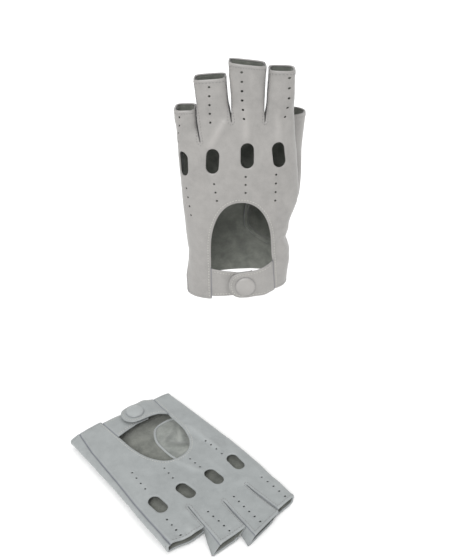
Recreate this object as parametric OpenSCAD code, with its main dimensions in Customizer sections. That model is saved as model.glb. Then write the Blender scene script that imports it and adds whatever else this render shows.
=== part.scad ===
// A pair of unlined half-finger driving gloves in thin leather.
// The left glove keeps the shape of the hand inside it and stands upright, fingers up, back to -Y.
// The right glove lies flat, back up, below it and to the left, on the level it rests on.
// Both are cut from one pattern: "across" runs from the little-finger side to the thumb side, and
// "along" runs from the wrist to the fingertips. The right glove is its mirror image.

/* [Leather] */
// Thickness of the leather
leather = 0.9; // [0.7:0.1:1.1]
// Thickness of the two wrist tabs, which are folded double
tab = 1.2; // [1.0:0.1:1.3]

/* [Pattern] */
// Where the hem runs along the glove, at the little-finger side and at the thumb side
hem_along = [-20, -12.5]; // [-24:0.5:-8]
// Across the glove, the ends of the little-ring, ring-middle and middle-index slits
slit_across = [-25, -5, 16]; // [-30:0.5:20]
// Along the glove, the ends of the same slits
slit_along = [92, 105, 105]; // [88:0.5:106]
// Width of a slit at its end
slit = 1.2; // [1.0:0.1:1.6]
// Along the glove, the hems of the little, ring, middle and index stalls
stall_hem = [112, 131, 140, 136]; // [110:1:145]
// Along the glove, the lines that the four stalls bend on
bend_along = [94, 108, 108, 108]; // [93:0.5:110]

/* [Knuckle ovals and perforations] */
// Width and length of a knuckle oval
oval = [8.5, 16.5]; // [6:0.5:20]
// Across the glove, the middles of the ovals of the little, ring, middle and index fingers
oval_across = [-38, -17, 5, 25.5]; // [-42:0.5:30]
// Along the glove, the middles of the same ovals
oval_along = [77, 80.5, 84.5, 84.3]; // [70:0.5:88]
// Turn of each oval, in degrees
oval_turn = [0, -4, 0, 8]; // [-15:1:15]
// Diameter of a perforation
hole = 1.6; // [1.2:0.1:2]
// Number of holes in the rows on the little, ring, middle and index stalls
stall_holes = [4, 5, 6, 5]; // [1:1:6]
// Number of holes in the rows below the four ovals
hand_holes = [4, 3, 3, 4]; // [1:1:4]

/* [Wrist opening and tabs] */
// Half width of the arched opening over the wrist
arch_half = 21; // [18:0.5:22]
// Middle of the arch, across the glove
arch_across = 1.5; // [0:0.5:3]
// Top of the arch, along the glove
arch_top = 53; // [45:0.5:56]
// Where the free end of the over tab is, across the glove
over_end = -7; // [-9:0.5:-5]
// Where the free end of the under tab is, across the glove
under_end = 12; // [11:0.5:14]
// Middle of the snap, across and along the glove
snap_at = [4.3, -7]; // [-9:0.1:6]

/* [Snap] */
// Radius of the leather-covered cap
cap_r = 7; // [6:0.25:7.5]
// Height of the cap
cap_h = 2.1; // [1.5:0.1:2.5]
// Radius of the flanges of the stud, socket and post
flange_r = 4.5; // [4:0.25:5]
// Radius of the stud's head
stud_r = 1.8; // [1.6:0.1:1.9]
// Gap between the two tabs, which the stud and socket fill
snap_gap = 1.7; // [1.6:0.1:1.8]

/* [Lying glove] */
// Where the lying glove's pattern zero is, right and forward of the upright glove's wrist centre
lying_at = [-79.7, -19.6]; // [-90:0.1:0]
// Direction of the lying fingers, in degrees to the right of straight away and down
lying_turn = 46.2; // [40:0.1:50]
// Level that the lying glove rests on
rest_level = -120.7; // [-125:0.1:-110]
// Height left between the palm and the back of the lying glove
lying_hollow = 4.8; // [4.5:0.1:5.5]

/* [Hidden] */

grey = "#B0AFAC";
shade = "#9C9C99";
nickel = "#C8C8C4";

LITTLE = 0;
RING = 1;
MIDDLE = 2;
INDEX = 3;

// Level of the pattern's zero above the wrist centre of the upright glove
zero_level = 16;
// Clearance between leather that moves and leather that stays
gap = 0.4;
// How far below its bend line the palm side of the hand is cut back, so that a stall can fold onto it
fold_room = 4.5;
// Depth, from the middle of a stall towards the palm, of the axis it bends on
bend_depth = 6;
// Thumb hole in the palm: middle across and along, half width and half length
thumb_hole = [18, 42];
thumb_hole_half = [15, 26];
// Rows of perforations: pitch, and the lean of each row across the glove per unit along it
pitch = [5.6, 5.4, 5.5, 6.1];
stall_row_across = [-42.6, -18.9, 2, 27.9];
stall_row_lean = [-0.05, -0.03, -0.03, -0.07];
hand_row_across = [-34.9, -15.5, 4, 24];
hand_row_lean = [-0.14, -0.15, 0, 0];
hand_row_drop = 6;

// ---------- the upright glove's shape ----------
// Outline of the hand seen from its back: the little-finger edge and the thumb edge, against along
little_edge = [[-20, -37.5], [-6, -37.5], [12, -35], [44, -37.8], [66, -39], [94, -40.3], [112, -41]];
thumb_edge = [[-20, 33.5], [5, 35], [22, 32.5], [41, 36], [57, 40], [80, 37.5], [95, 35.6], [110, 34.5]];
// Depth of the section in front of and behind its middle, against along
back_depth = [[-20, 17.5], [20, 16], [60, 14.5], [84, 14], [108, 10.5]];
palm_depth = [[-20, 24], [30, 21], [70, 16.5], [108, 10.5]];
hand_roundness = 2.4;

function hand_middle(along) = (lookup(along, thumb_edge) + lookup(along, little_edge)) / 2;
function hand_half(along) = (lookup(along, thumb_edge) - lookup(along, little_edge)) / 2;
function signed_power(x, e) = sign(x) * pow(abs(x), e);

// A point on a rounded section: angle 0 is the thumb side, 270 is the back of the hand
function rounded(angle, middle, half, back, palm, roundness) = [
    middle + half * signed_power(cos(angle), 2 / roundness),
    (sin(angle) < 0 ? back : palm) * signed_power(sin(angle), 2 / roundness)
];
function hand_point(angle, along, inset) =
    let (p = rounded(angle, hand_middle(along), hand_half(along) - inset,
                     lookup(along, back_depth) - inset, lookup(along, palm_depth) - inset, hand_roundness))
    [p.x, p.y, along + zero_level];

// Depth of the back of the hand at a place across it, outset from the leather's outer face
function back_face(across, along, outset) =
    let (s = abs(across - hand_middle(along)) / (hand_half(along) + outset))
    -(lookup(along, back_depth) + outset) * pow(1 - pow(s, hand_roundness), 1 / hand_roundness);

function hem(across) = lookup(across, [[-42, hem_along[0]], [38, hem_along[1]]]);

// Edges of the stalls across the hand, at the bend line and at the hem
stall_low = [[-40.3, -25.8], [-24.9, -5.8], [-4.6, 15.4], [16.6, 34.6]];
stall_high = [[-41, -27.5], [-28.4, -8.2], [-6.8, 16.6], [17.8, 34.3]];
stall_half_depth = 10.4;
stall_roundness = 3.2;
// Angles of each worn stall's section that the trank itself covers
TRANK_INDEX = [[225, 495]];
TRANK_LITTLE = [[45, 315]];
TRANK_STRIPS = [[225, 315], [45, 135]];

// ---------- the lying glove's shape ----------
flat_little_edge = [[-20, -47.5], [41, -51], [85, -55], [94, -55.5], [112, -55.6]];
flat_thumb_edge = [[-13, 42], [16, 42], [72, 40.6], [97, 38.7], [136, 33.5]];
flat_low = [[-55.5, -25.8], [-24.9, -5.8], [-4.4, 15.4], [16.6, 37.3]];
flat_high = [[-55.6, -29], [-29.8, -8.2], [-7.2, 16.2], [17.4, 33.5]];
// Layers of the lying glove above the level it rests on
thumb_layer = 0;
palm_layer = 2.4;
back_layer = palm_layer + leather + lying_hollow;
lying_top = back_layer + leather;
over_layer = lying_top + snap_gap;

// ---------- helpers ----------
function blend(a, b, t) = a + (b - a) * t;
function triangle_volume(p, f) = cross(p[f[0]], p[f[1]]) * p[f[2]];
function total(list) = len(list) == 0 ? 0 : list * [for (x = list) 1];

// A solid sheet between two equal grids of points. A ring joins its last column to its first.
module sheet(outer, inner, ring = false) {
    rows = len(outer);
    cols = len(outer[0]);
    spans = ring ? cols : cols - 1;
    n = rows * cols;
    points = concat([for (row = outer) each row], [for (row = inner) each row]);
    skin = [for (i = [0:rows - 2], j = [0:spans - 1])
        let (a = i * cols + j, b = i * cols + (j + 1) % cols) [a, b, b + cols, a + cols]];
    lining = [for (q = skin) [q[3] + n, q[2] + n, q[1] + n, q[0] + n]];
    low_rim = [for (j = [0:spans - 1]) let (k = (j + 1) % cols) [k, j, j + n, k + n]];
    r = n - cols;
    high_rim = [for (j = [0:spans - 1]) let (k = (j + 1) % cols) [r + j, r + k, r + k + n, r + j + n]];
    first_rim = [for (i = [0:rows - 2]) let (a = i * cols, b = a + cols) [a, b, b + n, a + n]];
    last_rim = [for (i = [0:rows - 2]) let (a = i * cols + cols - 1, b = a + cols) [b, a, a + n, b + n]];
    quads = concat(skin, lining, low_rim, high_rim, ring ? [] : concat(first_rim, last_rim));
    faces = [for (q = quads) each [[q[0], q[1], q[2]], [q[0], q[2], q[3]]]];
    outward = total([for (f = faces) triangle_volume(points, f)]) > 0;
    polyhedron(points, outward ? [for (f = faces) [f[2], f[1], f[0]]] : faces);
}

// Puts a flat shape drawn in across and along onto the back of the upright hand, as a cutter
module cut_back(from = 4) {
    rotate([90, 0, 0]) translate([0, zero_level, from]) linear_extrude(30) children();
}

// The same, as a cutter through the palm
module cut_palm(from = 4) {
    rotate([90, 0, 0]) translate([0, zero_level, -from - 40]) linear_extrude(40) children();
}

// Places the lying glove's pattern, back up
module lay() {
    translate([lying_at.x, lying_at.y, rest_level])
        rotate([0, 0, -90 - lying_turn])
            mirror([1, 0, 0])
                children();
}

module layer(height, thickness = leather) {
    translate([0, 0, height]) linear_extrude(thickness) children();
}

// ---------- the pattern ----------
module oval_2d(finger) {
    reach = (oval[1] - oval[0]) / 2;
    translate([oval_across[finger], oval_along[finger]]) rotate(oval_turn[finger]) {
        for (end = [-reach, reach])
            translate([0, end]) circle(d = oval[0], $fn = 32);
        square([oval[0], 2 * reach], center = true);
    }
}

module perforation_row_2d(count, across, along, step, lean) {
    for (i = [0:count - 1])
        translate([across + lean * i * step, along + i * step]) circle(d = hole, $fn = 16);
}

// The row in the stall, counted down from its hem
module stall_row_2d(finger) {
    top = stall_hem[finger] - 4.4;
    lean = stall_row_lean[finger];
    perforation_row_2d(stall_holes[finger], stall_row_across[finger], top, -pitch[finger], lean);
}

// The row between the oval and the wrist, counted down from the oval
module hand_row_2d(finger) {
    top = oval_along[finger] - oval[1] / 2 - hand_row_drop;
    perforation_row_2d(hand_holes[finger], hand_row_across[finger] + hand_row_lean[finger] * 9,
                       top, -pitch[finger], hand_row_lean[finger]);
}

// The ends of the two slits that reach below the upper bend line
module upper_slits_2d() {
    for (k = [1, 2])
        translate([slit_across[k] - slit / 2, slit_along[k]]) square([slit, 10]);
}

// The arched opening, open at the wrist, whose two straight sides are the tabs' root seams
arch_spring = 16;
arch_seam = [[-19.5, -26], [-19.6, 5]];
thumb_seam = [[26.6, -26], [23.4, 10]];
module arch_2d() {
    rise = arch_top - arch_spring;
    e = 2 / 2.25;
    crown = [for (a = [0:9:180])
        [arch_across + arch_half * signed_power(cos(a), e), arch_spring + rise * signed_power(sin(a), e)]];
    polygon(concat(crown, [arch_seam[1], arch_seam[0], thumb_seam[0], thumb_seam[1]]));
}

// The thumb hole, grown by an amount all round
module thumb_hole_2d(grow = 0) {
    w = thumb_hole_half.x + grow;
    reach = thumb_hole_half.y - thumb_hole_half.x;
    translate(thumb_hole) {
        for (end = [-reach, reach])
            translate([0, end]) circle(r = w, $fn = 48);
        square([2 * w, 2 * reach], center = true);
    }
}

// The tabs' long edges: the hem, and the lower edge of the opening
tab_top = [[-19.5, 5], [0, 3], [12, 5], [24, 10]];
function tab_middle(across) = (lookup(across, tab_top) + hem(across)) / 2;
function tab_half(across) = (lookup(across, tab_top) - hem(across)) / 2;
// Place on the over tab: t from its root seam to its rounded free end, s from its lower to its upper edge
function over_place(t, s) =
    let (root_along = tab_middle(25) + s * tab_half(25),
         root = blend(thumb_seam[0].x, thumb_seam[1].x, (root_along + 26) / 36) - gap,
         end = over_end + 9 * (1 - sqrt(1 - s * s)),
         across = blend(root, end, t))
    [across, tab_middle(across) + s * tab_half(across)];
function under_place(t, s) =
    let (end = under_end - 3 * s * s, across = blend(arch_seam[1].x + 0.1, end, t))
    [across, tab_middle(across) + s * (tab_half(across) - 1.2)];

// ---------- the upright glove ----------
module left_trank() {
    rows = 12;
    cols = 48;
    top = bend_along[MIDDLE];
    function along_at(i, j) =
        let (low = hem(hand_middle(0) + hand_half(0) * cos(360 * j / cols))) blend(low, top, i / rows);
    function face(inset) = [for (i = [0:rows])
        [for (j = [0:cols - 1]) hand_point(360 * j / cols, along_at(i, j), inset)]];
    color(grey) difference() {
        sheet(face(0), face(leather), ring = true);
        cut_back() {
            arch_2d();
            for (finger = [LITTLE:INDEX]) {
                oval_2d(finger);
                hand_row_2d(finger);
            }
            upper_slits_2d();
        }
        cut_palm() thumb_hole_2d();
        little_bend = bend_along[LITTLE] + zero_level;
        little_side = slit_across[0] - slit / 2 - 40;
        translate([little_side, -40, little_bend]) cube([40, 80, 40]);
        translate([little_side, bend_depth - 1, little_bend - fold_room]) cube([40, 40, 40]);
        translate([-60, bend_depth - 1, bend_along[MIDDLE] + zero_level - fold_room]) cube([120, 40, 40]);
    }
}

// Part of a stall's wall between two angles of its section
module stall_wall(finger, from, to, lower = 0) {
    cols = round((to - from) / 11.25);
    ends = [bend_along[finger] + gap - lower, stall_hem[finger]];
    function edges(i) = i == 0 ? stall_low[finger] : stall_high[finger];
    function point(i, j, inset) =
        let (e = edges(i), depth = stall_half_depth - inset,
             p = rounded(blend(from, to, j / cols), (e[0] + e[1]) / 2, (e[1] - e[0]) / 2 - inset,
                         depth, depth, stall_roundness))
        [p.x, p.y, ends[i] + zero_level];
    sheet([for (i = [0, 1]) [for (j = [0:cols]) point(i, j, 0)]],
          [for (i = [0, 1]) [for (j = [0:cols]) point(i, j, leather)]]);
}

module left_stall(finger, walls) {
    color(grey) difference() {
        for (w = walls)
            stall_wall(finger, w[0], w[1]);
        cut_back() stall_row_2d(finger);
    }
}

module left_fourchette(finger, thumb_side) {
    color(shade) stall_wall(finger, thumb_side ? -45 : 135, thumb_side ? 45 : 225);
}

// The ring finger's outer gusset, which runs down past its bend line to the deeper slit
module left_ring_gusset() {
    bend_level = bend_along[RING] + gap + zero_level;
    color(shade) difference() {
        stall_wall(RING, 135, 225, lower = 9);
        translate([-40, -20, bend_level - 20]) cube([30, 18.5, 20]);
    }
}

// The thumb piece: its root is sewn round the hole in the palm and swells into the stall
thumb_split = 66;
thumb_hem = 103;
thumb_r = 12;
thumb_low = [31, 25];
thumb_high = [32.6, 26];
// Sections of the root, from its lower point (0) to the stall (1): middle, half width and swell
root_middle = [[0, 21], [0.55, 19.5], [0.85, 28], [1, 31]];
root_half = [[0, 6], [0.3, 15], [0.55, 16.5], [0.85, 13.2], [1, 12]];
root_swell = [[0, 0.5], [0.3, 8], [0.6, 15], [0.85, 16], [1, 12]];

function palm_face(across, along) =
    let (s = min(0.97, abs(across - hand_middle(along)) / hand_half(along)))
    lookup(along, palm_depth) * pow(1 - pow(s, hand_roundness), 1 / hand_roundness);

module left_thumb_base() {
    rows = 10;
    cols = 18;
    function point(i, j, inset) =
        let (t = i / rows,
             closing = max(0, (t - 0.6) / 0.4),
             along = blend(14, thumb_split - gap, t),
             turn = blend(-55 * closing, 180 + 55 * closing, j / cols),
             across = lookup(t, root_middle) + (lookup(t, root_half) - inset) * cos(turn),
             foot = blend(palm_face(across, along) + gap + leather, thumb_low.y, closing))
        [across, foot + (lookup(t, root_swell) - inset) * sin(turn), along + zero_level];
    color(grey) sheet([for (i = [0:rows]) [for (j = [0:cols]) point(i, j, 0)]],
                      [for (i = [0:rows]) [for (j = [0:cols]) point(i, j, leather)]]);
}

module left_thumb_stall() {
    cols = 32;
    function point(i, j, inset) =
        let (m = i == 0 ? thumb_low : thumb_high, r = thumb_r - inset, a = 360 * j / cols)
        [m.x + r * cos(a), m.y + r * sin(a), (i == 0 ? thumb_split + gap : thumb_hem) + zero_level];
    color(grey) difference() {
        sheet([for (i = [0, 1]) [for (j = [0:cols - 1]) point(i, j, 0)]],
              [for (i = [0, 1]) [for (j = [0:cols - 1]) point(i, j, leather)]], ring = true);
        // Room behind the bend line for the stall to lean away from the palm
        translate([0, thumb_low.y + bend_depth, thumb_split + zero_level - 1])
            cube([60, 40, fold_room + 1]);
    }
}

// A tab wrapped over the wrist, clear of the hand's face by an amount that grows from root to end
module worn_tab(over) {
    rows = 10;
    cols = 16;
    function clear(t) = over ? snap_gap * min(1, t * 3) : 0;
    function point(i, j, face) =
        let (t = j / cols, s = blend(-0.995, 0.995, i / rows),
             p = over ? over_place(t, s) : under_place(t, s),
             outset = over ? clear(t) + face * tab : (face - 1) * tab)
        [p.x, back_face(p.x, p.y, outset), p.y + zero_level];
    sheet([for (i = [0:rows]) [for (j = [0:cols]) point(i, j, 1)]],
          [for (i = [0:rows]) [for (j = [0:cols]) point(i, j, 0)]]);
}

// Stands a snap part, drawn upwards from the under tab's face, on the upright wrist
module worn_snap() {
    function depth(step) = back_face(snap_at.x + step.x, snap_at.y + step.y, 0);
    slope = [for (d = [[1, 0], [0, 1]]) (depth(d) - depth(-d)) / 2];
    translate([snap_at.x, back_face(snap_at.x, snap_at.y, 0), snap_at.y + zero_level])
        rotate([90 - atan(slope.y), 0, atan(slope.x)])
            children();
}

module left_under_tab() {
    color(grey) difference() {
        worn_tab(false);
        worn_snap() snap_bore();
    }
}

module left_over_tab() {
    color(grey) difference() {
        worn_tab(true);
        worn_snap() snap_bore();
    }
}

// ---------- the snap, drawn upwards from the under tab's outer face ----------
shank_r = 0.9;
seat = 0.25;
module snap_bore() {
    translate([0, 0, -5]) cylinder(r = shank_r + 0.2, h = 15, $fn = 24);
}

module snap_cap() {
    foot = snap_gap + tab + seat;
    ball = (cap_r * cap_r + cap_h * cap_h) / (2 * cap_h);
    color(grey) intersection() {
        translate([0, 0, foot + cap_h - ball]) sphere(r = ball, $fn = 96);
        translate([0, 0, foot]) cylinder(r = cap_r, h = cap_h + 1, $fn = 64);
    }
    color(nickel) translate([0, 0, snap_gap + seat]) cylinder(r = shank_r, h = tab + 0.4, $fn = 24);
}

module snap_socket() {
    foot = 0.75;
    color(nickel) translate([0, 0, foot]) difference() {
        cylinder(r = flange_r, h = snap_gap - seat - foot, $fn = 48);
        translate([0, 0, -1]) cylinder(r = stud_r + 0.35, h = 4, $fn = 32);
    }
}

module snap_stud() {
    color(nickel) translate([0, 0, seat]) {
        cylinder(r = flange_r, h = 0.4, $fn = 48);
        cylinder(r = stud_r, h = 1.25, $fn = 32);
    }
}

module snap_post() {
    color(nickel) {
        translate([0, 0, -tab - 0.4 - seat]) cylinder(r = flange_r - 0.5, h = 0.4, $fn = 48);
        translate([0, 0, -tab - 0.3]) cylinder(r = shank_r, h = tab + 0.45, $fn = 24);
    }
}

// ---------- the lying glove ----------
// Points down an edge, with the ends of the stretch added
function edge_points(edge, low, high) = concat(
    [[lookup(low, edge), low]],
    [for (p = edge) if (p[0] > low && p[0] < high) [p[1], p[0]]],
    [[lookup(high, edge), high]]);
function reversed(list) = [for (i = [len(list) - 1:-1:0]) list[i]];

module hand_outline_2d() {
    little_top = bend_along[LITTLE];
    top = bend_along[MIDDLE];
    polygon(concat(
        edge_points(flat_little_edge, hem_along[0], little_top),
        [[slit_across[0] - slit / 2, little_top], [slit_across[0] - slit / 2, top]],
        reversed(edge_points(flat_thumb_edge, hem_along[1], top))));
}

// A wall one leather thick along an edge of the lying glove
module edge_wall(edge, low, high, inward) {
    line = edge_points(edge, low, high);
    translate([0, 0, palm_layer]) linear_extrude(lying_top - palm_layer)
        polygon(concat(line, reversed([for (p = line) [p.x + inward, p.y]])));
}

module right_trank() {
    color(grey) lay() {
        layer(palm_layer) difference() {
            hand_outline_2d();
            thumb_hole_2d();
        }
        layer(back_layer) difference() {
            hand_outline_2d();
            arch_2d();
            for (finger = [LITTLE:INDEX]) {
                oval_2d(finger);
                hand_row_2d(finger);
            }
            upper_slits_2d();
        }
        edge_wall(flat_little_edge, hem_along[0], bend_along[LITTLE], leather);
        edge_wall(flat_thumb_edge, hem_along[1], bend_along[MIDDLE], -leather);
    }
}

function stall_outline(finger, inset_little, inset_thumb) = [
    [flat_low[finger][0] + inset_little, bend_along[finger] + gap],
    [flat_high[finger][0] + inset_little, stall_hem[finger]],
    [flat_high[finger][1] - inset_thumb, stall_hem[finger]],
    [flat_low[finger][1] - inset_thumb, bend_along[finger] + gap]
];

// Front and palm strips of a stall; walled = [little side, thumb side] where the trank turns the edge
module right_stall(finger, walled) {
    side = leather + 0.1;
    color(grey) lay() {
        difference() {
            union() {
                for (h = [palm_layer, back_layer])
                    layer(h) polygon(stall_outline(finger, walled[0] ? 0 : side, walled[1] ? 0 : side));
                if (walled[0])
                    flat_side(finger, false);
                if (walled[1])
                    flat_side(finger, true);
            }
            layer(back_layer - 1, leather + 2) stall_row_2d(finger);
        }
    }
}

// The side of a flat stall, one leather thick
module flat_side(finger, thumb_side) {
    p = stall_outline(finger, 0, 0);
    low = thumb_side ? p[3] : p[0];
    high = thumb_side ? p[2] : p[1];
    inward = thumb_side ? -leather : leather;
    translate([0, 0, palm_layer]) linear_extrude(lying_top - palm_layer)
        polygon([low, high, [high.x + inward, high.y], [low.x + inward, low.y]]);
}

module right_fourchette(finger, thumb_side) {
    color(shade) lay() flat_side(finger, thumb_side);
}

module right_thumb_base() {
    color(grey) lay() layer(palm_layer) thumb_hole_2d(grow = -0.3);
}

// The thumb stall, folded flat under the palm, its two plies almost touching
flat_thumb = [[9, 20], [33, 20], [31, 92], [7, 92]];
flat_thumb_hollow = [[10, 19], [32, 19], [30, 93], [8, 93]];
thumb_ply = 0.8;
module right_thumb_stall() {
    depth = palm_layer - 0.2 - thumb_layer;
    color(grey) lay() difference() {
        layer(thumb_layer, depth) polygon(flat_thumb);
        layer(thumb_layer + thumb_ply, depth - 2 * thumb_ply) polygon(flat_thumb_hollow);
    }
}

// The lying tabs, one above the other
module tab_outline(over) {
    steps = 12;
    side = [for (i = [-steps:steps]) i / (steps + 0.05)];
    polygon([
        for (s = side) over ? over_place(1, s) : under_place(1, s),
        over ? over_place(0, 1) : under_place(0, 1),
        over ? over_place(0, -1) : under_place(0, -1)
    ]);
}

module lying_snap() {
    lay() translate([snap_at.x, snap_at.y, lying_top]) children();
}

module right_under_tab() {
    color(grey) difference() {
        lay() layer(lying_top - tab, tab) tab_outline(false);
        lying_snap() snap_bore();
    }
}

module right_over_tab() {
    color(grey) difference() {
        lay() layer(over_layer, tab) tab_outline(true);
        lying_snap() snap_bore();
    }
}

left_trank();
left_stall(LITTLE, TRANK_LITTLE);  // left_little_stall
left_stall(RING, TRANK_STRIPS);  // left_ring_stall
left_stall(MIDDLE, TRANK_STRIPS);  // left_middle_stall
left_stall(INDEX, TRANK_INDEX);  // left_index_stall
left_fourchette(LITTLE, true);  // left_little_fourchette
left_ring_gusset();  // left_ring_fourchette_outer
left_fourchette(RING, true);  // left_ring_fourchette_inner
left_fourchette(MIDDLE, false);  // left_middle_fourchette_outer
left_fourchette(MIDDLE, true);  // left_middle_fourchette_inner
left_fourchette(INDEX, false);  // left_index_fourchette
left_thumb_base();
left_thumb_stall();
left_under_tab();
left_over_tab();
worn_snap() snap_cap();  // left_snap_cap
worn_snap() snap_socket();  // left_snap_socket
worn_snap() snap_stud();  // left_snap_stud
worn_snap() snap_post();  // left_snap_post
right_trank();
right_stall(LITTLE, [true, false]);  // right_little_stall
right_stall(RING, [false, false]);  // right_ring_stall
right_stall(MIDDLE, [false, false]);  // right_middle_stall
right_stall(INDEX, [false, true]);  // right_index_stall
right_fourchette(LITTLE, true);  // right_little_fourchette
right_fourchette(RING, false);  // right_ring_fourchette_outer
right_fourchette(RING, true);  // right_ring_fourchette_inner
right_fourchette(MIDDLE, false);  // right_middle_fourchette_outer
right_fourchette(MIDDLE, true);  // right_middle_fourchette_inner
right_fourchette(INDEX, false);  // right_index_fourchette
right_thumb_base();
right_thumb_stall();
right_under_tab();
right_over_tab();
lying_snap() snap_cap();  // right_snap_cap
lying_snap() snap_socket();  // right_snap_socket
lying_snap() snap_stud();  // right_snap_stud
lying_snap() snap_post();  // right_snap_post
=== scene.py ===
"""A pair of half-finger leather driving gloves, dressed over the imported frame.

Both gloves are cut from one flat pattern, in millimetres. A place on it is (s, v).
s runs round the hand: over the back, where s = 0 is the middle line, to the fold on the
thumb side and on round the palm. v runs along the hand from the wrist to the fingertips.
On the flat glove, u is the distance across the hand at the same place.
"""
import math

import bpy
import numpy as np
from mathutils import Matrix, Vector
from mathutils.geometry import delaunay_2d_cdt


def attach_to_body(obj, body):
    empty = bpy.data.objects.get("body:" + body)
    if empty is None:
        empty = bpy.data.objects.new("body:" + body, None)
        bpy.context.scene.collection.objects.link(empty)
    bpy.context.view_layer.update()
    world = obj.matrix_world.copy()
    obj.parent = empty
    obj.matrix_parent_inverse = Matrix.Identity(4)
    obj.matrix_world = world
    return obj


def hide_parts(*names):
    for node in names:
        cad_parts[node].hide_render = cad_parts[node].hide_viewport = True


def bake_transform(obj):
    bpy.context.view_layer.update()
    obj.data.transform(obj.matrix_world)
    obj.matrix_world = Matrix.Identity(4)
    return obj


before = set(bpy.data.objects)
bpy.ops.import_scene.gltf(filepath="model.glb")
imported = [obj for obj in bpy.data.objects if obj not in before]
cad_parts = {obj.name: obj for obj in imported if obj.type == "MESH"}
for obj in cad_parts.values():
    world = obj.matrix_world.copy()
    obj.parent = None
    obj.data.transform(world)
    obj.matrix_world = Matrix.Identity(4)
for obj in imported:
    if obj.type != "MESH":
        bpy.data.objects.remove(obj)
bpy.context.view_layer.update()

MM = 0.001
LEATHER, TAB = 0.9, 1.3     # thickness

# ---------------------------------------------------------------- the pattern
GIRTH = 188.0
FOLD = 42.0          # s of the fold on the thumb side
LITTLE_SIDE = -52.0  # s of the extreme of the little-finger side
LITTLE, RING, MIDDLE, INDEX = range(4)
HAND = -1
NAMES = ["little", "ring", "middle", "index"]
ZERO_LEVEL = 16.0    # height of v = 0 in the upright glove

BASE = [92.0, 105.0, 105.0, 105.0]     # v where each stall leaves the hand
SLIT = [(-25.0, 92.0), (-5.0, 105.0), (16.0, 105.0)]
# Edges of the finger strips in the flat glove, across the hand: (v, u) from slit end to hem
STRIP_LITTLE_EDGE = {
    RING: [(92, -24.75), (105, -26.6), (112, -27.4), (131, -29.6)],
    MIDDLE: [(105, -4.75), (140, -8.4)],
    INDEX: [(105, 16.25), (136, 17.6)],
}
STRIP_THUMB_EDGE = {
    LITTLE: [(92, -25.25), (112, -28.1)],
    RING: [(105, -5.25), (131, -8.1)],
    MIDDLE: [(105, 15.75), (138, 16.6)],
}
HEMS = [(112.0, 112.5), (130.4, 132.0), (141.0, 138.4), (136.4, 136.0)]   # little edge, thumb edge

OVAL_W, OVAL_L = 8.6, 16.4
OVALS = [(-38.2, 77.0, 0), (-17.3, 80.6, -4), (5.0, 84.4, 0), (25.6, 84.3, 8)]     # u, v, turn in degrees
HOLE_R = 0.85
# Rows of small holes: u and v of the first, how many, their spacing, and how far the row leans
STALL_ROWS = [(-42.6, 108.0, 4, -5.6, -0.05), (-18.9, 126.6, 5, -5.4, -0.03),
              (2.0, 135.4, 6, -5.6, -0.03), (27.2, 132.0, 5, -6.1, -0.07)]
HAND_ROWS = [(-36.2, 60.4, 4, -6.2, -0.14), (-16.4, 65.6, 3, -5.8, -0.15),
             (4.1, 70.6, 3, -5.4, 0.0), (24.1, 71.4, 4, -5.9, 0.01)]
THUMB_HOLE = (17.0, 39.0, 18.0, 28.5)   # middle u, v, half width, half length

ARCH_MIDDLE, ARCH_HALF, ARCH_SPRING, ARCH_TOP = 1.5, 21.0, 16.0, 53.0
ROOT_HEADS = [(-19.5, 5.0), (23.4, 10.0)]     # upper ends of the tabs' root seams
ROOT_FEET = [-19.42, 25.9]                    # u of their lower ends


def lookup(x, table):
    return np.interp(x, [p[0] for p in table], [p[1] for p in table])


def smooth(t):
    t = np.clip(t, 0, 1)
    return t * t * (3 - 2 * t)


def little_side_u(v):
    return lookup(v, [(-20, -47.5), (41, -51), (85, -55), (94, -55.5), (112, -55.6)])


def fold_u(v):
    return lookup(v, [(-13, 42), (16, 42), (72, 40.6), (97, 38.7), (108, 37.4), (136, 34)])


def to_s(u, v):
    u, v = np.asarray(u, float), np.asarray(v, float)
    return np.where(u >= 0, u * FOLD / fold_u(v), u * LITTLE_SIDE / little_side_u(v))


def to_u(s, v):
    return np.where(s >= 0, s * fold_u(v) / FOLD, s * little_side_u(v) / LITTLE_SIDE)


def palm(s):
    """The same place on the other face of the hand."""
    return 2 * FOLD - s


def seam_s(v):
    return lookup(v, [(-21, -41.8), (4, -45.2), (35, -46.8), (66, -48.0), (104, -47.9)])


def cuff_v(u):
    """The cuff's hem: lower on the little-finger side."""
    return lookup(u, [(-48, -19.6), (-20, -19.2), (0, -16.5), (26, -12.6), (42, -12.4)])


def at(points):
    """Pattern places for flat-glove places (u, v)."""
    p = np.asarray(points, float)
    return np.column_stack([to_s(p[:, 0], p[:, 1]), p[:, 1]])


def arc(middle, radius, start, stop, n):
    a = np.radians(np.linspace(start, stop, n))
    return np.column_stack([middle[0] + radius * np.cos(a), middle[1] + radius * np.sin(a)])


def power(x, exponent):
    return np.sign(x) * np.abs(x) ** exponent


def superellipse(a, u, v, half_u, half_v, roundness):
    across, along = power(np.cos(a), 2 / roundness), power(np.sin(a), 2 / roundness)
    return np.column_stack([u + half_u * across, v + half_v * along])


def resample(line, step, closed=False):
    """The line's points with more between them, so that none is further than step from the next."""
    line = np.asarray(line, float)
    if closed:
        line = np.vstack([line, line[:1]])
    out = []
    for a, b in zip(line[:-1], line[1:]):
        n = max(1, int(math.ceil(np.linalg.norm(b - a) / step)))
        out.extend(a + (b - a) * i / n for i in range(n))
    if not closed:
        out.append(line[-1])
    return np.array(out)


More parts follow.
